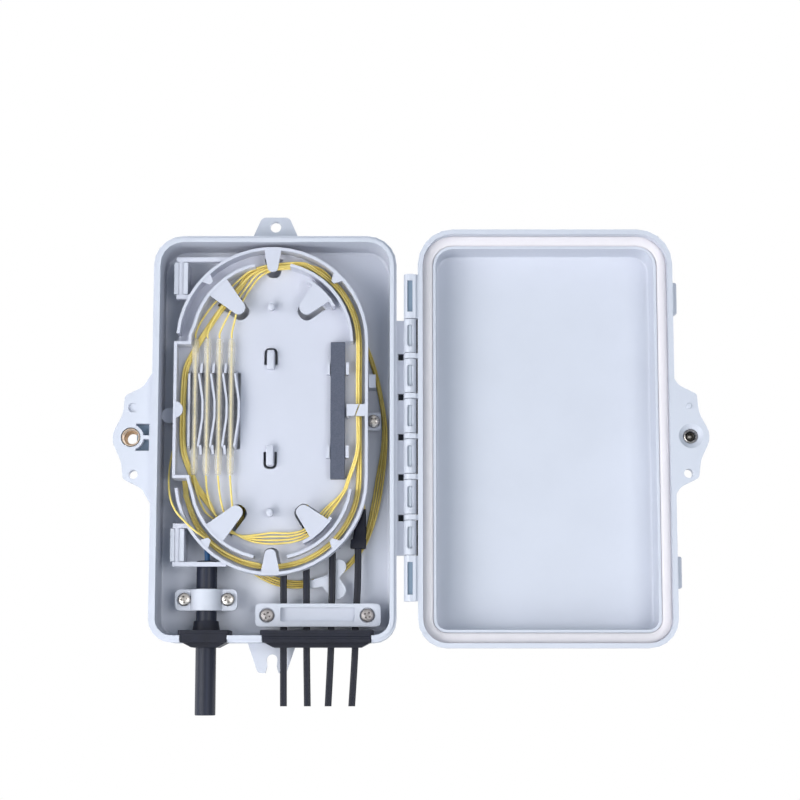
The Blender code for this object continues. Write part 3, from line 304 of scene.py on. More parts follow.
floorMesh = bmesh.new()
bmesh.ops.create_grid(floorMesh, x_segments=1, y_segments=1, size=studio["floorSize"] / 2)
bmesh.ops.translate(floorMesh, verts=floorMesh.verts, vec=(studio["floorMiddle"], 0.0, studio["floorDrop"]))
floorFinish, floorTree, floorShader, floorCoords = finish("paleFloor")
floorDrift = noise(floorTree, floorCoords.outputs["Object"], 3.0)
paint(floorTree, floorShader, floorDrift, (0.3, (0.93, 0.93, 0.93)), (0.7, (0.96, 0.96, 0.96)))
floorShader.inputs["Roughness"].default_value = 0.9
floorShader.inputs["Specular IOR Level"].default_value = 0.1
floorShader.inputs["Emission Color"].default_value = (1, 1, 1, 1)
floorLift = floorTree.nodes.new("ShaderNodeMath")
floorLift.operation = "MULTIPLY"
floorLift.inputs[1].default_value = studio["floorGlow"]
floorTree.links.new(seenDirectly(floorTree), floorLift.inputs[0])
floorTree.links.new(floorLift.outputs[0], floorShader.inputs["Emission Strength"])
meshObject("paleFloor", floorMesh, floorFinish, smooth=0)


# round strands: a path with a circle drawn along it
def strandTree():
    tree = bpy.data.node_groups.new("strandTree", "GeometryNodeTree")
    face = tree.interface
    face.new_socket("Path", in_out="INPUT", socket_type="NodeSocketGeometry")
    keys = {}
    for name, kind in (("Radius", "Float"), ("Sides", "Int"), ("Coat", "Material")):
        keys[name] = face.new_socket(name, in_out="INPUT", socket_type="NodeSocket" + kind).identifier
    face.new_socket("Strand", in_out="OUTPUT", socket_type="NodeSocketGeometry")
    given = tree.nodes.new("NodeGroupInput")
    ring = tree.nodes.new("GeometryNodeCurvePrimitiveCircle")
    drawn = tree.nodes.new("GeometryNodeCurveToMesh")
    drawn.inputs["Fill Caps"].default_value = True
    smooth = tree.nodes.new("GeometryNodeSetShadeSmooth")
    real = tree.nodes.new("GeometryNodeRealizeInstances")
    coat = tree.nodes.new("GeometryNodeSetMaterial")
    out = tree.nodes.new("NodeGroupOutput")
    link = tree.links.new
    link(given.outputs["Radius"], ring.inputs["Radius"])
    link(given.outputs["Sides"], ring.inputs["Resolution"])
    link(given.outputs["Path"], drawn.inputs["Curve"])
    link(ring.outputs["Curve"], drawn.inputs["Profile Curve"])
    link(drawn.outputs["Mesh"], smooth.inputs["Geometry"])
    link(smooth.outputs["Geometry"], real.inputs["Geometry"])
    link(real.outputs["Geometry"], coat.inputs["Geometry"])
    link(given.outputs["Coat"], coat.inputs["Material"])
    link(coat.outputs["Geometry"], out.inputs["Strand"])
    return tree, keys


strands, strandKeys = strandTree()


def plainMesh(host, name):  # the finished mesh of an object with nodes, in place of it
    scene.collection.objects.link(host)
    bpy.context.view_layer.update()
    ready = host.evaluated_get(bpy.context.evaluated_depsgraph_get())
    data = bpy.data.meshes.new_from_object(ready)
    data.name = name
    bpy.data.objects.remove(host)
    made = bpy.data.objects.new(name, data)
    scene.collection.objects.link(made)
    return made


def strand(name, points, radius, coat, sides=10):
    line = bpy.data.curves.new(name + "Path", "CURVE")
    line.dimensions = "3D"
    run = line.splines.new("POLY")
    run.points.add(len(points) - 1)
    for knot, (u, v, w) in zip(run.points, points):
        knot.co = (u, -w, v, 1)
    host = bpy.data.objects.new(name + "Path", line)
    nodesStep = host.modifiers.new("strand", "NODES")
    nodesStep.node_group = strands
    nodesStep[strandKeys["Radius"]] = radius
    nodesStep[strandKeys["Sides"]] = sides
    nodesStep[strandKeys["Coat"]] = coat
    return plainMesh(host, name)


# fibres: laps round a stadium, counted in quarters from the foot of its right side
fibre = {
    "radius": 0.00045, "pitch": 0.00052, "lift": 0.00082, "gap": 0.0003, "lane": 0.0382,
    "trayCentre": (-0.00125, 0.01215), "trayHalf": 0.03025, "deck": 0.0125, "under": 0.0110,
    "firstLap": 0.0007, "secondLap": 0.0017, "pair": 0.00092, "cross": 0.00095,
    "combU": -0.0379, "ribPitch": 0.0053, "firstSleeve": 0.00255,
    "sleeveHigh": 0.0443, "sleeveLength": 0.0604, "sleeveSeat": 0.0030,
    "tops": (  # from under the top tab to each sleeve, right-hand sleeve first
        ((-0.0046, 0.0742), (-0.0115, 0.0668), (-0.0168, 0.0575), (-0.0184, 0.0518)),
        ((-0.0058, 0.0750), (-0.0135, 0.0670), (-0.0197, 0.0575), (-0.0228, 0.0515)),
        ((-0.0070, 0.0757), (-0.0163, 0.0680), (-0.0238, 0.0590), (-0.0281, 0.0520)),
        ((-0.0082, 0.0764), (-0.0184, 0.0692), (-0.0276, 0.0600), (-0.0331, 0.0522))),
    "feet": (  # from each sleeve down to the lower left tab, left-hand sleeve first
        ((-0.0338, -0.0245), (-0.0300, -0.0325)), ((-0.0292, -0.0250), (-0.0266, -0.0325)),
        ((-0.0239, -0.0250), (-0.0224, -0.0315)), ((-0.0189, -0.0250), (-0.0184, -0.0305))),
    "leftLine": (  # down the tray's left side, between comb and wall
        (-0.0092, 0.0752), (-0.0163, 0.0678), (-0.0243, 0.0582), (-0.0316, 0.0472), (-0.0366, 0.0385),
        (-0.0394, 0.0322), (-0.0404, 0.0255), (-0.0408, 0.0140), (-0.0408, 0.0020), (-0.0402, -0.0055),
        (-0.0384, -0.0115), (-0.0344, -0.0205), (-0.0290, -0.0285)),
}
sleeveU = [fibre["combU"] + fibre["firstSleeve"] + fibre["ribPitch"] * k for k in range(4)]
sleeveW = fibre["deck"] + fibre["sleeveSeat"]
gap = fibre["gap"]


def lap(turn, reach, centre, half, flat):
    share = turn % 1
    angle = math.pi * share
    quarter = int(turn // 1) % 4
    u, v = centre
    if quarter == 0:
        return u + reach, v - half + 2 * half * share
    if quarter == 1:
        return u + reach * math.cos(angle), v + half + (reach - flat) * math.sin(angle)
    if quarter == 2:
        return u - reach, v + half - 2 * half * share
    return u - reach * math.cos(angle), v - half - (reach - flat) * math.sin(angle)


def between(keys, turn):
    for (start, first), (end, last) in zip(keys, keys[1:]):
        if turn <= end:
            share = max(turn - start, 0) / (end - start)
            return first + (last - first) * share * share * (3 - 2 * share)
    return keys[-1][1]


def laps(first, last, reaches, heights, centre, half, flat=0.0):
    turns = {first, last}
    turns.update(turn for turn, _ in reaches + heights if first < turn < last)
    for quarter in range(int(first), int(last) + 1):
        steps = 12 if quarter % 2 else 4
        for turn in (quarter + i / steps for i in range(steps)):
            if first < turn < last and min(abs(turn - other) for other in turns) > 0.03:
                turns.add(turn)
    points = []
    for turn in sorted(turns):
        points.append((*lap(turn, between(reaches, turn), centre, half, flat), between(heights, turn)))
    return points


def eased(knots, steps=6):  # a smooth run through a few points
    points = []
    for i in range(len(knots) - 1):
        before = Vector(knots[max(i - 1, 0)])
        here, ahead = Vector(knots[i]), Vector(knots[i + 1])
        after = Vector(knots[min(i + 2, len(knots) - 1)])
        for step in range(steps):
            t = step / steps
            points.append(tuple(
                0.5 * (2 * here + (ahead - before) * t + (2 * before - 5 * here + 4 * ahead - after) * t * t
                       + (3 * here - before - 3 * ahead + after) * t ** 3)))
    return points + [tuple(knots[-1])]


def beside(line, reach):  # the same line, moved to its right-hand side
    moved = []
    for i, here in enumerate(line):
        along = Vector(line[min(i + 1, len(line) - 1)]) - Vector(line[max(i - 1, 0)])
        moved.append(Vector(here) + reach * Vector((along.y, -along.x)).normalized())
    return moved


firstW = fibre["deck"] + fibre["firstLap"]
secondW = firstW + fibre["secondLap"]
place = fibre["trayCentre"], fibre["trayHalf"]
for k in range(4):
    row = fibre["pitch"] * (k - 1.5)
    ride = fibre["lift"] * (k % 2)
    lane = fibre["lane"] + row
    pair = fibre["pair"] * (k // 2)
    upper = secondW + fibre["cross"] * (k % 2)
    inward = 3 - k
    reaches = ((2.8, lane + 0.0004), (3.0, lane + 0.0004), (3.05, lane), (5.40, lane))
    heights = ((2.985, fibre["under"] - 0.0014), (3.065, firstW), (3.3, firstW + ride), (5.40, firstW + ride))
    run = laps(2.94, 5.36, reaches, heights, *place)
    for i, point in enumerate(beside(fibre["leftLine"], row * 1.1)):
        channel = 4 < i < 10
        run.append((point.x, point.y, firstW + (ride if channel or i < 2 else 0.0)))
    reaches = (
        (7.24, 0.0293 - row), (7.5, 0.0282 - 0.0016 * inward), (7.72, 0.0298 - 0.0011 * inward),
        (7.83, 0.0298 - 0.0011 * inward), (7.94, 0.0314 + pair), (8.0, 0.0332 + pair),
        (8.22, 0.0372 + pair), (9.40, 0.0372 + pair))
    run += laps(7.24, 9.40, reaches, ((7.24, firstW), (7.62, upper), (9.40, upper)), *place)
    endU = sleeveU[inward]
    for (u, v), height in zip(fibre["tops"][k], (upper, sleeveW, sleeveW, sleeveW)):
        run.append((u, v, height))
    run += [(endU, fibre["sleeveHigh"] + 0.0026, sleeveW), (endU, fibre["sleeveHigh"] + gap, sleeveW)]
    made = strand(f"trayFibre{k + 1}", eased(run), fibre["radius"], yellowCoat)
    dress(made, "tray", "yellow_fibre", f"tray_fibre_{k + 1}")

for k in range(4):
    end = fibre["sleeveHigh"] - fibre["sleeveLength"] - gap
    under = fibre["under"] - gap - fibre["radius"] - 0.0001
    u = sleeveU[k]
    diveU, diveV, belowV = -0.0234 + 0.0015 * k, -0.0372 + 0.00075 * k, -0.0355 + 0.0013 * k
    run = eased([
        (u, end, sleeveW), (u, end - 0.0012, sleeveW), (*fibre["feet"][k][0], sleeveW - 0.0002),
        (*fibre["feet"][k][1], sleeveW - 0.0004), (diveU, diveV, fibre["deck"]),
        (diveU - 0.0012, belowV, under), (-0.0290, belowV, under), (-0.0345, belowV + 0.0026, under)], 8)
    made = strand(f"feederFibre{k + 1}", run, fibre["radius"], yellowCoat)
    dress(made, "tray", "yellow_fibre", f"feeder_fibre_{k + 1}")

strayLoop = {  # the strand that has slipped out past the tray's left wall
    "line": (
        (-0.0400, 0.0030, 0.0103), (-0.0440, -0.0010, 0.0103), (-0.0461, -0.0090, 0.0110),
        (-0.0464, -0.0180, 0.0150), (-0.0452, -0.0262, 0.0196), (-0.0424, -0.0325, 0.0222),
        (-0.0378, -0.0376, 0.0226), (-0.0335, -0.0414, 0.0218), (-0.0290, -0.0446, 0.0186),
        (-0.0232, -0.0490, 0.0164), (-0.0150, -0.0530, 0.0156), (-0.0060, -0.0552, 0.0154)),
}
dress(strand("strayLoop", eased(strayLoop["line"], 8), fibre["radius"], yellowCoat), "tray", "yellow_fibre")

slack = {  # from the boots' tips, once round, then along the foot and up the base's right side
    "tips": (0.0040, 0.0142, 0.0258, 0.0392), "tipV": -0.0305, "tipW": 0.0077,
    "floor": 0.0038, "step": 0.00074,
    "place": ((0, 0.0040), 0.0280, 0.0035),  # centre, half height and flattening of its laps
    "line": (
        (-0.0150, -0.0290), (-0.0158, -0.0400), (-0.0145, -0.0490), (-0.0108, -0.0555), (-0.0058, -0.0593),
        (0.0021, -0.0626), (0.0109, -0.0635), (0.0197, -0.0619), (0.0268, -0.0591), (0.0329, -0.0543),
        (0.0382, -0.0472), (0.0417, -0.0386), (0.0442, -0.0284), (0.0462, -0.0164), (0.0479, -0.0038),
        (0.0481, 0.0074), (0.0466, 0.0186), (0.0442, 0.0299), (0.0408, 0.0403), (0.0364, 0.0485),
        (0.0296, 0.0565), (0.0213, 0.0622)),
    "room": (8, 8, 8, 9, 10, 10, 9, 7, 6, 5, 6, 8, 10, 10, 7, 5, 4, 4, 4, 4, 5, 6),  # between strands, 0.1 mm
}
for k, tip in enumerate(slack["tips"]):
    step = slack["step"] * k
    low = slack["floor"] + fibre["lift"] * (k % 2)
    run = [(tip, slack["tipV"] + gap, slack["tipW"]), (tip, slack["tipV"] + 0.0014, slack["tipW"])]
    reaches = (
        (0, tip), (1.0, 0.0148 + 0.0020 * k), (1.6, 0.0152 + 0.0020 * k),
        (2.1, 0.0122 + step), (2.9, 0.0122 + step))
    run += laps(0, 2.9, reaches, ((0, slack["tipW"]), (0.8, low), (2.9, low)), *slack["place"])[1:]
    outer = beside(slack["line"], 0.0001 * (k - 1.5))
    for middle, aside, room in zip(slack["line"], outer, slack["room"]):
        point = Vector(middle).lerp(aside, room)
        run.append((point.x, point.y, low))
    reaches = ((5.4, 0.0395 + step), (6.0, 0.0394 + step), (6.5, 0.0392 + step), (6.86, 0.0377 + step))
    heights = ((5.4, low), (6.70, low), (6.86, fibre["under"] - 0.0027))
    run += laps(5.4, 6.86, reaches, heights, *slack["place"])
    # the base fibres take the darker coat: painted shade of the trench they lie in
    made = strand(f"baseFibre{k + 1}", eased(run), fibre["radius"], paintedShadeFibreCoat)
    dress(made, "base", "yellow_fibre", f"base_fibre_{k + 1}")

feeder = {
    "u": -0.0296, "w": 0.0102, "radius": 0.0045, "low": -0.1204, "high": -0.0535, "core": 0.0030,
    "soft": 0.0003, "hollow": 0.0008, "yarn": 0.0030, "fit": 0.0001,
}
looseTube = {  # out of the feeder's end, then up under the tray
    "radius": 0.00125,
    "line": ((-0.0303, -0.0440, 0.0083), (-0.0315, -0.0395, 0.0078), (-0.0335, -0.0355, 0.0076),
             (-0.0360, -0.0325, 0.0076)),
}
u, v, w = feeder["u"], feeder["high"], feeder["w"]
run = eased([(u, v - 0.0005, w - 0.0006), (u, v + 0.0028, w - 0.0009), *looseTube["line"]], 8)
dress(strand("looseTube", run, looseTube["radius"], blueCoat, 16), "base", "blue_tube", "loose_tube")
print("fibres laid")


# round pieces turned about an axis that points off the wall (w) or up it (v)
def turned(profile, centre, along="w", sides=48):
    mesh = bmesh.new()
    rings = []
    for radius, height in profile:
        ring = []
        for i in range(sides if radius > 1e-7 else 1):
            a = 2 * math.pi * i / sides
            x, y = radius * math.cos(a), radius * math.sin(a)
            if along == "w":
                ring.append(mesh.verts.new(wallPoint(centre[0] + x, centre[1] + y, height)))
            else:
                ring.append(mesh.verts.new(wallPoint(centre[0] + x, height, centre[1] + y)))
        rings.append(ring)
    pairs = list(zip(rings, rings[1:]))
    if profile[0][0] > 1e-7 and profile[-1][0] > 1e-7:
        pairs.append((rings[-1], rings[0]))
    for one, two in pairs:
        for i in range(sides):
            j = (i + 1) % sides
            if len(one) == 1 and len(two) == 1:
                continue
            if len(one) == 1:
                mesh.faces.new((one[0], two[i], two[j]))
            elif len(two) == 1:
                mesh.faces.new((one[i], two[0], one[j]))
            else:
                mesh.faces.new((one[i], two[i], two[j], one[j]))
    return mesh


# splice sleeves: a milky tube, fuller at its ends, round the joined strand
sleeve = {"radius": 0.00124, "end": 0.00162, "bore": 0.00060, "strand": 0.00044, "endLength": 0.0125}
for k, u in enumerate(sleeveU):
    high = fibre["sleeveHigh"]
    low = high - fibre["sleeveLength"]
    r, full, b, ends = sleeve["radius"], sleeve["end"], sleeve["bore"], sleeve["endLength"]
    outer = [(r, low), (r * 1.06, low + 0.0006), (full, low + 0.0024), (full, low + ends - 0.0014)]
    outer += [(r * (0.995 + 0.005 * math.sin(i * 1.3 + k)), low + ends + 0.0035 * i) for i in range(11)]
    outer += [(full, high - ends + 0.0014), (full, high - 0.0024), (r * 1.06, high - 0.0006), (r, high)]
    tube = turned(outer + [(b, high), (b, low)], (u, sleeveW), "v", 28)
    made = meshObject(f"spliceSleeve{k + 1}", tube, shrinkClear)
    dress(made, "tray", "clear_sleeve", f"splice_sleeve_{k + 1}")
    core = strand(f"sleeveStrand{k + 1}", [(u, low + 0.0002, sleeveW), (u, high - 0.0002, sleeveW)],
                  sleeve["strand"], yellowCoat, 10)
    dress(core, "tray", "yellow_fibre")
print("sleeves made")


# feeder cable: sheath with a cut end that shows its yarn and tube
r, c, soft, hollow, fit = (feeder[key] for key in ("radius", "core", "soft", "hollow", "fit"))
foot, top, yarnDeep = feeder["low"], feeder["high"], feeder["yarn"]
sheath = [(c, foot + hollow), (c, foot), (r - soft, foot), (r, foot + soft)]
sheath += [(r, foot + (top - foot) * i / 8) for i in range(1, 8)]
sheath += [(r, top - soft), (r - soft, top), (c, top), (c, top - hollow)]
dress(meshObject("feederCable", turned(sheath, (feeder["u"], feeder["w"]), "v", 56), cableJacket),
      "base", "cable_jacket", "feeder_cable")
for name, low, high in (
        ("feederYarnLow", foot + soft, foot + yarnDeep), ("feederYarnHigh", top - yarnDeep, top - soft)):
    yarn = [(0, low), (c * 0.5, low - fit), (c - fit, low + fit)]
    yarn += [(c - fit, high), (c * 0.5, high + fit), (0, high)]
    made = meshObject(name, turned(yarn, (feeder["u"], feeder["w"]), "v", 32), yarnCore)
    dress(made, "base", "yellow_fibre")


# drop cables: a flat sheath with a groove down each face, swept along the CAD line
drop = {
    "w": 0.0085, "wide": 0.0030, "thick": 0.0020, "end": -0.1165, "bends": (-0.0930, -0.0800, -0.0650),
    "lines": (  # outside the box, under the bar, at the boot
        (0.0043, 0.0041, 0.0039), (0.0147, 0.0142, 0.0139),
        (0.0237, 0.0249, 0.0253), (0.0340, 0.0355, 0.0366)),
}
boot = {
    "low": -0.0480, "middle": 0.00775,
    "stations": (  # rise, half width, half thickness, squareness, share of the lean
        (0, 0.0032, 0.0020, 6, 0), (0.0003, 0.0035, 0.00232, 6, 0),
        (0.0040, 0.0035, 0.00235, 6, 0.05), (0.0044, 0.0029, 0.0021, 6, 0.20),
        (0.0092, 0.0027, 0.0021, 5, 0.38), (0.0100, 0.0021, 0.0019, 4, 0.48),
        (0.0140, 0.0013, 0.0013, 2.5, 0.85), (0.0175, 0.0008, 0.0008, 2, 1.0)),
}


def sheathSection(wide, thick):
    half, tall = wide / 2, thick / 2
    shape = []
    for i in range(40):
        a = 2 * math.pi * i / 40
        x = math.copysign(abs(math.cos(a)) ** 0.55, math.cos(a)) * half
        y = math.copysign(abs(math.sin(a)) ** 0.62, math.sin(a)) * tall
        groove = 0.20 * math.exp(-((x / half) / 0.16) ** 2)
        shape.append((x, y * (1 - groove)))
    return shape


def loft(rings):
    mesh = bmesh.new()
    made = [[mesh.verts.new(p) for p in ring] for ring in rings]
    for low, high in zip(made, made[1:]):
        for i in range(len(low)):
            mesh.faces.new((low[i - 1], low[i], high[i], high[i - 1]))
    mesh.faces.new(made[0])
    mesh.faces.new(made[-1])
    return mesh


def swept(stations, section, height):
    return loft([[wallPoint(u + x, v, height + y) for x, y in section] for u, v, _ in stations])


def squircle(wide, thick, power, count=32):
    shape = []
    for i in range(count):
        a = 2 * math.pi * i / count
        x = math.copysign(abs(math.cos(a)) ** (2 / power), math.cos(a)) * wide
        y = math.copysign(abs(math.sin(a)) ** (2 / power), math.sin(a)) * thick
        shape.append((x, y))
    return shape


for k, (outside, inside, inner) in enumerate(drop["lines"]):
    first, second, third = drop["bends"]
    knots = [(outside, drop["end"], 0), (inside * 0.9 + outside * 0.1, first, 0), (inside, second, 0),
             (inside * 0.2 + inner * 0.8, third, 0), (inner, boot["low"] + 0.0015, 0)]
    cable = swept(eased(knots, 6), sheathSection(drop["wide"], drop["thick"]), drop["w"])
    dress(meshObject(f"dropCable{k + 1}", cable, dropJacket), "base", "cable_jacket", f"drop_cable_{k + 1}")
    lean = slack["tips"][k] - inner
    rings = []
    for rise, wide, thick, power, share in boot["stations"]:
        u, v, w = inner + lean * share, boot["low"] + rise, boot["middle"]
        rings.append([wallPoint(u + x, v, w + y) for x, y in squircle(wide, thick, power)])
    made = meshObject(f"fanOutBoot{k + 1}", loft(rings), blackRubber)
    dress(made, "base", "black_rubber", f"fan_out_boot_{k + 1}")
print("cables made")


# screws: one cross-slot screw set on each seat, turned a little differently
screw = {
    "head": 0.0029, "shank": 0.00145, "rise": 0.0020, "skirt": 0.0009, "pitch": 0.0005, "turns": 10,
    "tip": -0.0052, "threadLow": -0.0050, "slotWide": 0.00185, "slotThick": 0.00036, "slotLow": 0.0007,
    "slotHigh": 0.0024, "mostTurn": 1.57,
    "feeder": ((-0.0391, -0.0704, 0.0099, 0.0022), (-0.0201, -0.0704, 0.0099, 0.0022)),
    "drop": ((-0.0029, -0.0773, 0.0098, 0.0022), (0.0408, -0.0773, 0.0098, 0.0022)),
    "bracket": ((0.0433, 0.0084, 0.0068, 0.0018),),
}


def screwShape():
    h, s, skirt = screw["head"], screw["shank"], screw["skirt"]
    profile = [(0, screw["tip"])]
    for i in range(screw["turns"]):
        z = screw["threadLow"] + i * screw["pitch"]
        profile += [(s * 0.80, z), (s * 0.99, z + screw["pitch"] * 0.5)]
    profile += [(s * 0.8, -0.0001), (s * 0.8, 0.0), (h * 0.97, 0.0), (h, 0.0002), (h, skirt)]
    for i in range(1, 9):
        a = math.radians(90 * i / 8)
        profile.append((h * math.cos(a * 0.98), skirt + (screw["rise"] - skirt) * math.sin(a)))
    profile[-1] = (0, screw["rise"])
    body = meshObject("screwBlank", turned(profile, (0, 0), "w", 40), platedMetal, 35)
    wide, thick = screw["slotWide"], screw["slotThick"]
    for turn in (0, 90):
        along, across = math.cos(math.radians(turn)), math.sin(math.radians(turn))
        rings = []
        for x, y, height in ((wide * 0.55, thick, screw["slotLow"]), (wide, thick * 1.25, screw["slotHigh"])):
            ring = [(-x, -y), (x, -y), (x, y), (-x, y)]
            rings.append([wallPoint(p * along - q * across, p * across + q * along, height) for p, q in ring])
        cutter = meshObject(f"screwBlade{turn}", loft(rings), platedMetal, 0)
        step = body.modifiers.new(f"blade{turn}", "BOOLEAN")
        step.operation = "DIFFERENCE"
        step.solver = "EXACT"
        step.object = cutter
    bpy.context.view_layer.update()
    ready = body.evaluated_get(bpy.context.evaluated_depsgraph_get())
    data = bpy.data.meshes.new_from_object(ready)
    for name in ("screwBlade0", "screwBlade90", "screwBlank"):
        bpy.data.objects.remove(bpy.data.objects[name])
    return data


def screwTree():
    tree = bpy.data.node_groups.new("screwTree", "GeometryNodeTree")
    face = tree.interface
    face.new_socket("Seats", in_out="INPUT", socket_type="NodeSocketGeometry")
    keys = {}
    for name, kind in (("Screw", "Object"), ("Turn", "Float"), ("Seed", "Int"), ("Metal", "Material")):
        keys[name] = face.new_socket(name, in_out="INPUT", socket_type="NodeSocket" + kind).identifier
    face.new_socket("Screws", in_out="OUTPUT", socket_type="NodeSocketGeometry")
    given = tree.nodes.new("NodeGroupInput")
    info = tree.nodes.new("GeometryNodeObjectInfo")
    chance = tree.nodes.new("FunctionNodeRandomValue")
    chance.data_type = "FLOAT"
    spin = tree.nodes.new("ShaderNodeCombineXYZ")
    place = tree.nodes.new("GeometryNodeInstanceOnPoints")
    real = tree.nodes.new("GeometryNodeRealizeInstances")
    coat = tree.nodes.new("GeometryNodeSetMaterial")
    out = tree.nodes.new("NodeGroupOutput")
    link = tree.links.new
    link(given.outputs["Screw"], info.inputs["Object"])
    mostTurn = next(s for s in chance.inputs if s.name == "Max" and s.type == "VALUE" and s.enabled)
    link(given.outputs["Turn"], mostTurn)
    link(given.outputs["Seed"], chance.inputs["Seed"])
    link(next(s for s in chance.outputs if s.enabled), spin.inputs["Y"])
    link(given.outputs["Seats"], place.inputs["Points"])
    link(info.outputs["Geometry"], place.inputs["Instance"])
    link(spin.outputs["Vector"], place.inputs["Rotation"])
    link(place.outputs["Instances"], real.inputs["Geometry"])
    link(real.outputs["Geometry"], coat.inputs["Geometry"])
    link(given.outputs["Metal"], coat.inputs["Material"])
    link(coat.outputs["Geometry"], out.inputs["Screws"])
    return tree, keys


screwMaster = bpy.data.objects.new("screwMaster", screwShape())
screws, screwKeys = screwTree()
for name, body, seed, metal, stands in (
        ("feeder", "feeder_saddle", 3, platedMetal, ("feeder_screw_1", "feeder_screw_2")),
        ("drop", "drop_bar", 8, dullPlate, ("drop_screw_1", "drop_screw_2")),
        ("bracket", "base", 5, platedMetal, ("bracket_screw",))):
    seats = bpy.data.meshes.new(name + "Seats")
    seats.from_pydata([wallPoint(u, v, seat + grip + gap) for u, v, seat, grip in screw[name]], [], [])
    host = bpy.data.objects.new(name + "Seats", seats)
    step = host.modifiers.new("screws", "NODES")
    step.node_group = screws
    for key, value in (("Screw", screwMaster), ("Turn", screw["mostTurn"]), ("Seed", seed), ("Metal", metal)):
        step[screwKeys[key]] = value
    dress(plainMesh(host, name + "Screws"), body, "steel", *stands)
print("screws set")


# threaded insert in the base's ear, and the bolt with its thread
latch = {
    "u": -0.0628, "insert": 0.0040, "bore": 0.0024, "low": 0.0105, "mouth": 0.0152, "high": 0.0200,
    "pitch": 0.0008, "groove": 0.0003, "lead": 0.0005,
}
r, b, low, mouth, high = (latch[key] for key in ("insert", "bore", "low", "mouth", "high"))
lead, pitch = latch["lead"], latch["pitch"]
bore = [(b + lead, low)]
for i in range(int((mouth - low - 2 * lead) / pitch)):
    z = low + lead + i * pitch
    bore += [(b, z), (b + latch["groove"], z + pitch * 0.5)]
bore += [(b, mouth - lead), (b + 0.0009, mouth + 0.0006), (r - 0.0006, high - 0.0002), (r - 0.0005, high)]
rim = [(r - 0.0002, high), (r, high - 0.0003), (r, low)]
made = meshObject("threadedInsert", turned(bore + rim, (latch["u"], 0), "w", 56), brightInsert, 30)
dress(made, "base", "brass", "threaded_insert")

bolt = {
    "u": 0.1816, "head": 0.0042, "shank": 0.00205, "low": 0.0031, "seat": 0.0071, "tip": 0.0231,
    "pitch": 0.0008, "neck": 0.0045, "lead": 0.0008,
    "socket": 0.00215, "socketMouth": 0.0024, "socketDeep": 0.0024,
}
h, s, low, seat, tip = (bolt[key] for key in ("head", "shank", "low", "seat", "tip"))
socketFloor = low + bolt["socketDeep"]
turnsUp = [(0, socketFloor), (bolt["socket"], socketFloor), (bolt["socket"], low + 0.0003),
           (bolt["socketMouth"], low), (h - 0.0004, low), (h, low + 0.0004),
           (h, seat - 0.0002), (h - 0.0002, seat), (s * 0.9, seat)]
z = seat + bolt["neck"]
turnsUp.append((s * 0.9, z))
while z + bolt["pitch"] < tip - bolt["lead"]:
    turnsUp += [(s * 0.86, z + 0.0001), (s, z + bolt["pitch"] * 0.5)]
    z += bolt["pitch"]
turnsUp += [(s * 0.86, z + 0.0001), (s * 0.98, tip - bolt["lead"]), (s * 0.74, tip - 0.0001),
            (s * 0.70, tip - 0.0003), (s * 0.68, tip - 0.0030), (0, tip - 0.0044)]  # ends in a drilled hole
# the bolt is drawn in the darker steel: painted shade for its end in the lid's boss
made = meshObject("lockBolt", turned(turnsUp, (bolt["u"], 0), "w", 40), paintedShadeSteel, 30)
dress(made, "bolt", "steel", "lock_bolt")

keeper = {"inner": 0.00235, "outer": 0.0030, "low": 0.0222, "high": 0.0232}  # keeps the bolt in the lid
inner, outer, low, high = (keeper[key] for key in ("inner", "outer", "low", "high"))
ring = [(inner, low), (outer - 0.0001, low), (outer, low + 0.0001), (outer, high - 0.0003),
        (inner + 0.0001, high), (inner, high - 0.0001)]
made = meshObject("boltRetainer", turned(ring, (bolt["u"], 0), "w", 56), platedMetal, 30)
dress(made, "lid", "steel", "bolt_retainer")

pin = {"u": 0.0594, "w": 0.0230, "radius": 0.00125, "half": 0.0710, "soft": 0.0002}
length, r, soft = pin["half"], pin["radius"], pin["soft"]
rod = [(0, -length), (r - soft, -length), (r, soft - length)]
rod += [(r, length - soft), (r - soft, length), (0, length)]
made = meshObject("hingePin", turned(rod, (pin["u"], pin["w"]), "v", 36), palePin, 40)
dress(made, "base", "steel", "hinge_pin")
print("latch made")


# painted shade: dark sheets put at the backs of openings too deep and narrow for light: hinge slots, hinge
# seam, ear pocket and end panes
deep = {
    "slotU": (0.0543, 0.0564), "slotPitch": 0.0177, "slotCount": 5, "slotHalf": 0.00135,
    "slotW": (0.0176, 0.0178),
    "seam": (0.06216, 0.06280), "seamHalf": 0.0536, "seamW": (0.0180, 0.0184),
    "paneU": (0.05825, 0.06045), "paneV": (0.0548, 0.0688), "paneW": (0.02427, 0.02437),
    "pocket": (-0.0606, -0.0547), "pocketHalf": 0.0060, "pocketW": (0.0153, 0.0156),
}


def span(across, up, off):  # a box given by its reach each way
    return tuple(zip(across, up, off))


def blocks(name, boxes, material, soft=0.0):
    mesh = bmesh.new()
    for low, high in boxes:
        made = bmesh.ops.create_cube(mesh, size=1.0)["verts"]
        start, end = wallPoint(*low), wallPoint(*high)
        size = Matrix.Diagonal((*(abs(a - b) for a, b in zip(start, end)), 1))
        bmesh.ops.transform(mesh, verts=made, matrix=Matrix.Translation((start + end) / 2) @ size)
    if soft:
        bmesh.ops.bevel(mesh, geom=mesh.edges[:], offset=soft, segments=2, profile=0.5, affect="EDGES")
    return meshObject(name, mesh, material, 40 if soft else 0)


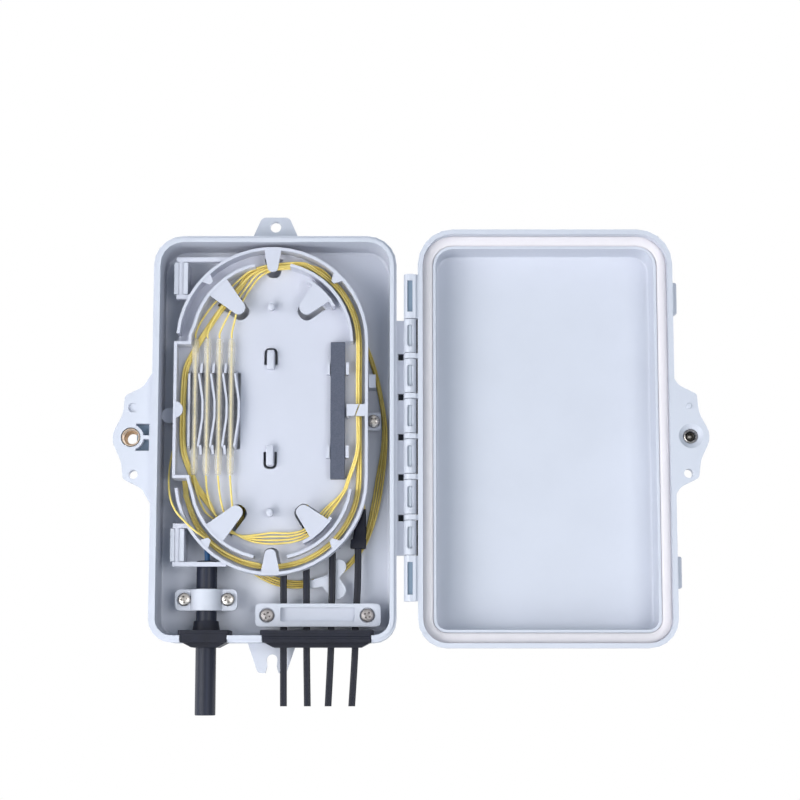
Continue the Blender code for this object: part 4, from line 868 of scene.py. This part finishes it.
slots = []
for k in range(deep["slotCount"]):
    v = (k - (deep["slotCount"] - 1) / 2) * deep["slotPitch"]
    slots.append(span(deep["slotU"], (v - deep["slotHalf"], v + deep["slotHalf"]), deep["slotW"]))
dress(blocks("slotBacks", slots, paintedShadePlastic), "base", "black_rubber")
seam = span(deep["seam"], (-deep["seamHalf"], deep["seamHalf"]), deep["seamW"])
dress(blocks("seamBack", [seam], paintedShadePlastic), "lid", "black_rubber")
pocket = span(deep["pocket"], (-deep["pocketHalf"], deep["pocketHalf"]), deep["pocketW"])
dress(blocks("pocketBack", [pocket], paintedShadeSlate), "base", "grey_plastic")
panes = [span(deep["paneU"], sorted(side * v for v in deep["paneV"]), deep["paneW"]) for side in (1, -1)]
dress(blocks("paneFloors", panes, paintedShadeSlate), "lid", "grey_plastic")

trim = {  # small mouldings the solids leave plain
    "hookU": (-0.0037, -0.0007), "hookV": ((0.0309, 0.0394), (-0.0117, -0.0030)), "hookW": (0.0123, 0.0158),
    "posts": ((-0.0020, 0.0586), (-0.0020, -0.0324)), "postRadius": 0.0016, "postTop": 0.0170,
    "bead": (-0.0034, 0.0424), "beadV": -0.0871, "beadW": 0.0240, "beadRadius": 0.0007,
    "lobes": ((0.0283, -0.0555, 0.0031), (0.0280, -0.0669, 0.0031), (0.0161, -0.0633, 0.0019)),
    "leaf": (0.00595, 0.00730), "ridge": ((0.0173, -0.0615, 0.0073), (0.0233, -0.0598, 0.0073)),
    "ridgeRadius": 0.0004,
}
hooks = [span(trim["hookU"], reach, trim["hookW"]) for reach in trim["hookV"]]
dress(blocks("tongueHooks", hooks, trayPlastic, 0.0003), "tray", "tray_plastic")
for k, centre in enumerate(trim["posts"]):
    r, top = trim["postRadius"], trim["postTop"]
    cap = [(0, top - 0.0030), (r, top - 0.0030)]
    for a in (math.radians(degrees) for degrees in range(0, 90, 15)):
        cap.append((r * math.cos(a), top - 0.0002 + 0.0008 * math.sin(a)))
    cap.append((0, top + 0.0006))
    made = meshObject(f"postCap{k + 1}", turned(cap, centre, "w", 32), trayPlastic)
    dress(made, "tray", "tray_plastic")
bead = [(u, trim["beadV"], trim["beadW"]) for u in trim["bead"]]
dress(strand("grommetBead", bead, trim["beadRadius"], blackRubber, 16), "base", "black_rubber")
low, high = trim["leaf"]
for k, (u, v, r) in enumerate(trim["lobes"]):  # the rounded ends of the fibre guide's leaf
    lobe = [(0, low), (r - 0.0001, low), (r, low + 0.0001), (r, high - 0.0003), (r - 0.0003, high), (0, high)]
    dress(meshObject(f"guideLobe{k + 1}", turned(lobe, (u, v), "w", 40), casePlastic), "base", "grey_plastic")
dress(strand("guideRidge", trim["ridge"], trim["ridgeRadius"], casePlastic, 12), "base", "grey_plastic")


# soft-edged copies of the moulded nodes
comb = {  # ribs bowed a little more than in the solids, their top ends cut back
    "left": -0.0390, "right": -0.0140, "above": 0.0150, "knots": (0.01665, 0.00915), "bow": 0.0003,
    "ends": ((0.03040, -0.0018), (-0.00511, 0.0017)), "near": 0.0005, "firstRib": 0.0020,
}
recess = {"half": 0.0170, "floor": 0.0120, "near": 0.0002, "sink": 0.0010}  # shallow bed in the drop bar


def bowRibs(mesh):
    for vert in mesh.verts:
        if not comb["left"] < vert.co.x < comb["right"]:
            continue
        first = vert.co.x < comb["left"] + comb["firstRib"]
        if not first and min(abs(vert.co.z - v) for v in comb["knots"]) < comb["near"]:
            vert.co.x += comb["bow"]
        for v, back in comb["ends"]:
            if -vert.co.y > comb["above"] and abs(vert.co.z - v) < comb["near"]:
                vert.co.z += back
                vert.co.x -= 0 if first else comb["bow"]


def sinkRecess(mesh):
    places = [vert.co.x for vert in mesh.verts]
    middle = (min(places) + max(places)) / 2
    for vert in mesh.verts:
        if abs(vert.co.x - middle) < recess["half"] and abs(-vert.co.y - recess["floor"]) < recess["near"]:
            vert.co.y += recess["sink"]


def softCopy(node, name, material, body, slot, width):
    data = nodes[node].data.copy()
    data.name = name
    mesh = bmesh.new()
    mesh.from_mesh(data)
    bmesh.ops.remove_doubles(mesh, verts=mesh.verts, dist=0.00001)
    bmesh.ops.dissolve_limit(mesh, angle_limit=math.radians(0.6), verts=mesh.verts, edges=mesh.edges)
    if node == "splice_tray":
        bowRibs(mesh)
    if node == "drop_clamp":
        sinkRecess(mesh)
    mesh.to_mesh(data)
    mesh.free()
    data.materials.clear()
    data.materials.append(material)
    data.polygons.foreach_set("use_smooth", [True] * len(data.polygons))
    sharpest = math.radians(32.0)
    data.set_sharp_from_angle(angle=sharpest)
    made = bpy.data.objects.new(name, data)
    scene.collection.objects.link(made)
    edges = made.modifiers.new("softEdges", "BEVEL")
    edges.width = width
    edges.segments = 2
    edges.limit_method = "ANGLE"
    edges.angle_limit = sharpest
    edges.use_clamp_overlap = True
    flat = made.modifiers.new("evenShade", "WEIGHTED_NORMAL")
    flat.keep_sharp = True
    return dress(made, body, slot, node)


softCopy("base_shell", "baseShell", casePlastic, "base", "grey_plastic", 0.00035)
softCopy("lid_shell", "lidShell", casePlastic, "lid", "grey_plastic", 0.00035)
softCopy("splice_tray", "spliceTray", trayPlastic, "tray", "tray_plastic", 0.00025)
softCopy("feeder_clamp", "feederClamp", casePlastic, "feeder_saddle", "grey_plastic", 0.0003)
softCopy("drop_clamp", "dropClamp", casePlastic, "drop_bar", "grey_plastic", 0.0003)
softCopy("side_bracket", "sideBracket", casePlastic, "base", "grey_plastic", 0.0002)
softCopy("feeder_grommet", "feederGrommet", blackRubber, "base", "black_rubber", 0.0003)
softCopy("drop_grommet", "dropGrommet", blackRubber, "base", "black_rubber", 0.0003)
softCopy("foam_strip", "foamStrip", slateFoam, "tray", "dark_foam", 0.0002)
softCopy("bolt_washer", "boltWasher", blackRubber, "bolt_slider", "black_rubber", 0.0001)
print("mouldings softened")


# lid gasket: a soft cord with a crowned top, laid round the seat
case = {
    "wide": 0.1070, "tall": 0.1784, "topCorner": 0.0130, "lowCorner": 0.0100, "least": 0.002, "lidU": 0.1188,
}
gasket = {"inset": -0.00043, "width": 0.0046, "low": 0.0191, "high": 0.0211, "crown": 0.0009}


def cornered(corners, steps):
    outline = []
    for i, (u, v, radius) in enumerate(corners):
        here = Vector((u, v))
        back = (Vector(corners[i - 1][:2]) - here).normalized()
        ahead = (Vector(corners[(i + 1) % len(corners)][:2]) - here).normalized()
        half = back.angle(ahead) / 2
        centre = here + (back + ahead).normalized() * radius / math.sin(half)
        start = here + back * radius / math.tan(half) - centre
        end = here + ahead * radius / math.tan(half) - centre
        first = math.atan2(start.y, start.x)
        turn = math.remainder(math.atan2(end.y, end.x) - first, 2 * math.pi)
        for step in range(steps + 1):
            a = first + turn * step / steps
            outline.append(centre + radius * Vector((math.cos(a), math.sin(a))))
    return outline


def lidOutline(inset):
    u, wide, tall = case["lidU"], case["wide"] / 2 - inset, case["tall"] / 2 - inset
    high, low = (max(case[corner] - inset, case["least"]) for corner in ("topCorner", "lowCorner"))
    corners = [(u - wide, -tall, low), (u + wide, -tall, low), (u + wide, tall, high), (u - wide, tall, high)]
    return cornered(corners, 14)


seal = bmesh.new()
half, low, shoulder = gasket["width"] / 2, gasket["low"], gasket["high"] - gasket["crown"]
section = [(0, low), (0, shoulder)]
for i in range(9):
    a = math.pi * i / 8
    section.append((half * (1 - math.cos(a)), shoulder + gasket["crown"] * math.sin(a) ** 0.7))
section += [(gasket["width"], shoulder), (gasket["width"], low)]
rows = []
for reach, height in section:
    rows.append([seal.verts.new(wallPoint(p.x, p.y, height)) for p in lidOutline(gasket["inset"] + reach)])
for one, two in zip(rows, rows[1:] + rows[:1]):
    for i in range(len(one)):
        seal.faces.new((one[i - 1], one[i], two[i], two[i - 1]))
bmesh.ops.remove_doubles(seal, verts=seal.verts, dist=0.000001)
dress(meshObject("lidGasket", seal, sealSilicone, 50), "lid", "silicone", "lid_gasket")
print("gasket laid")
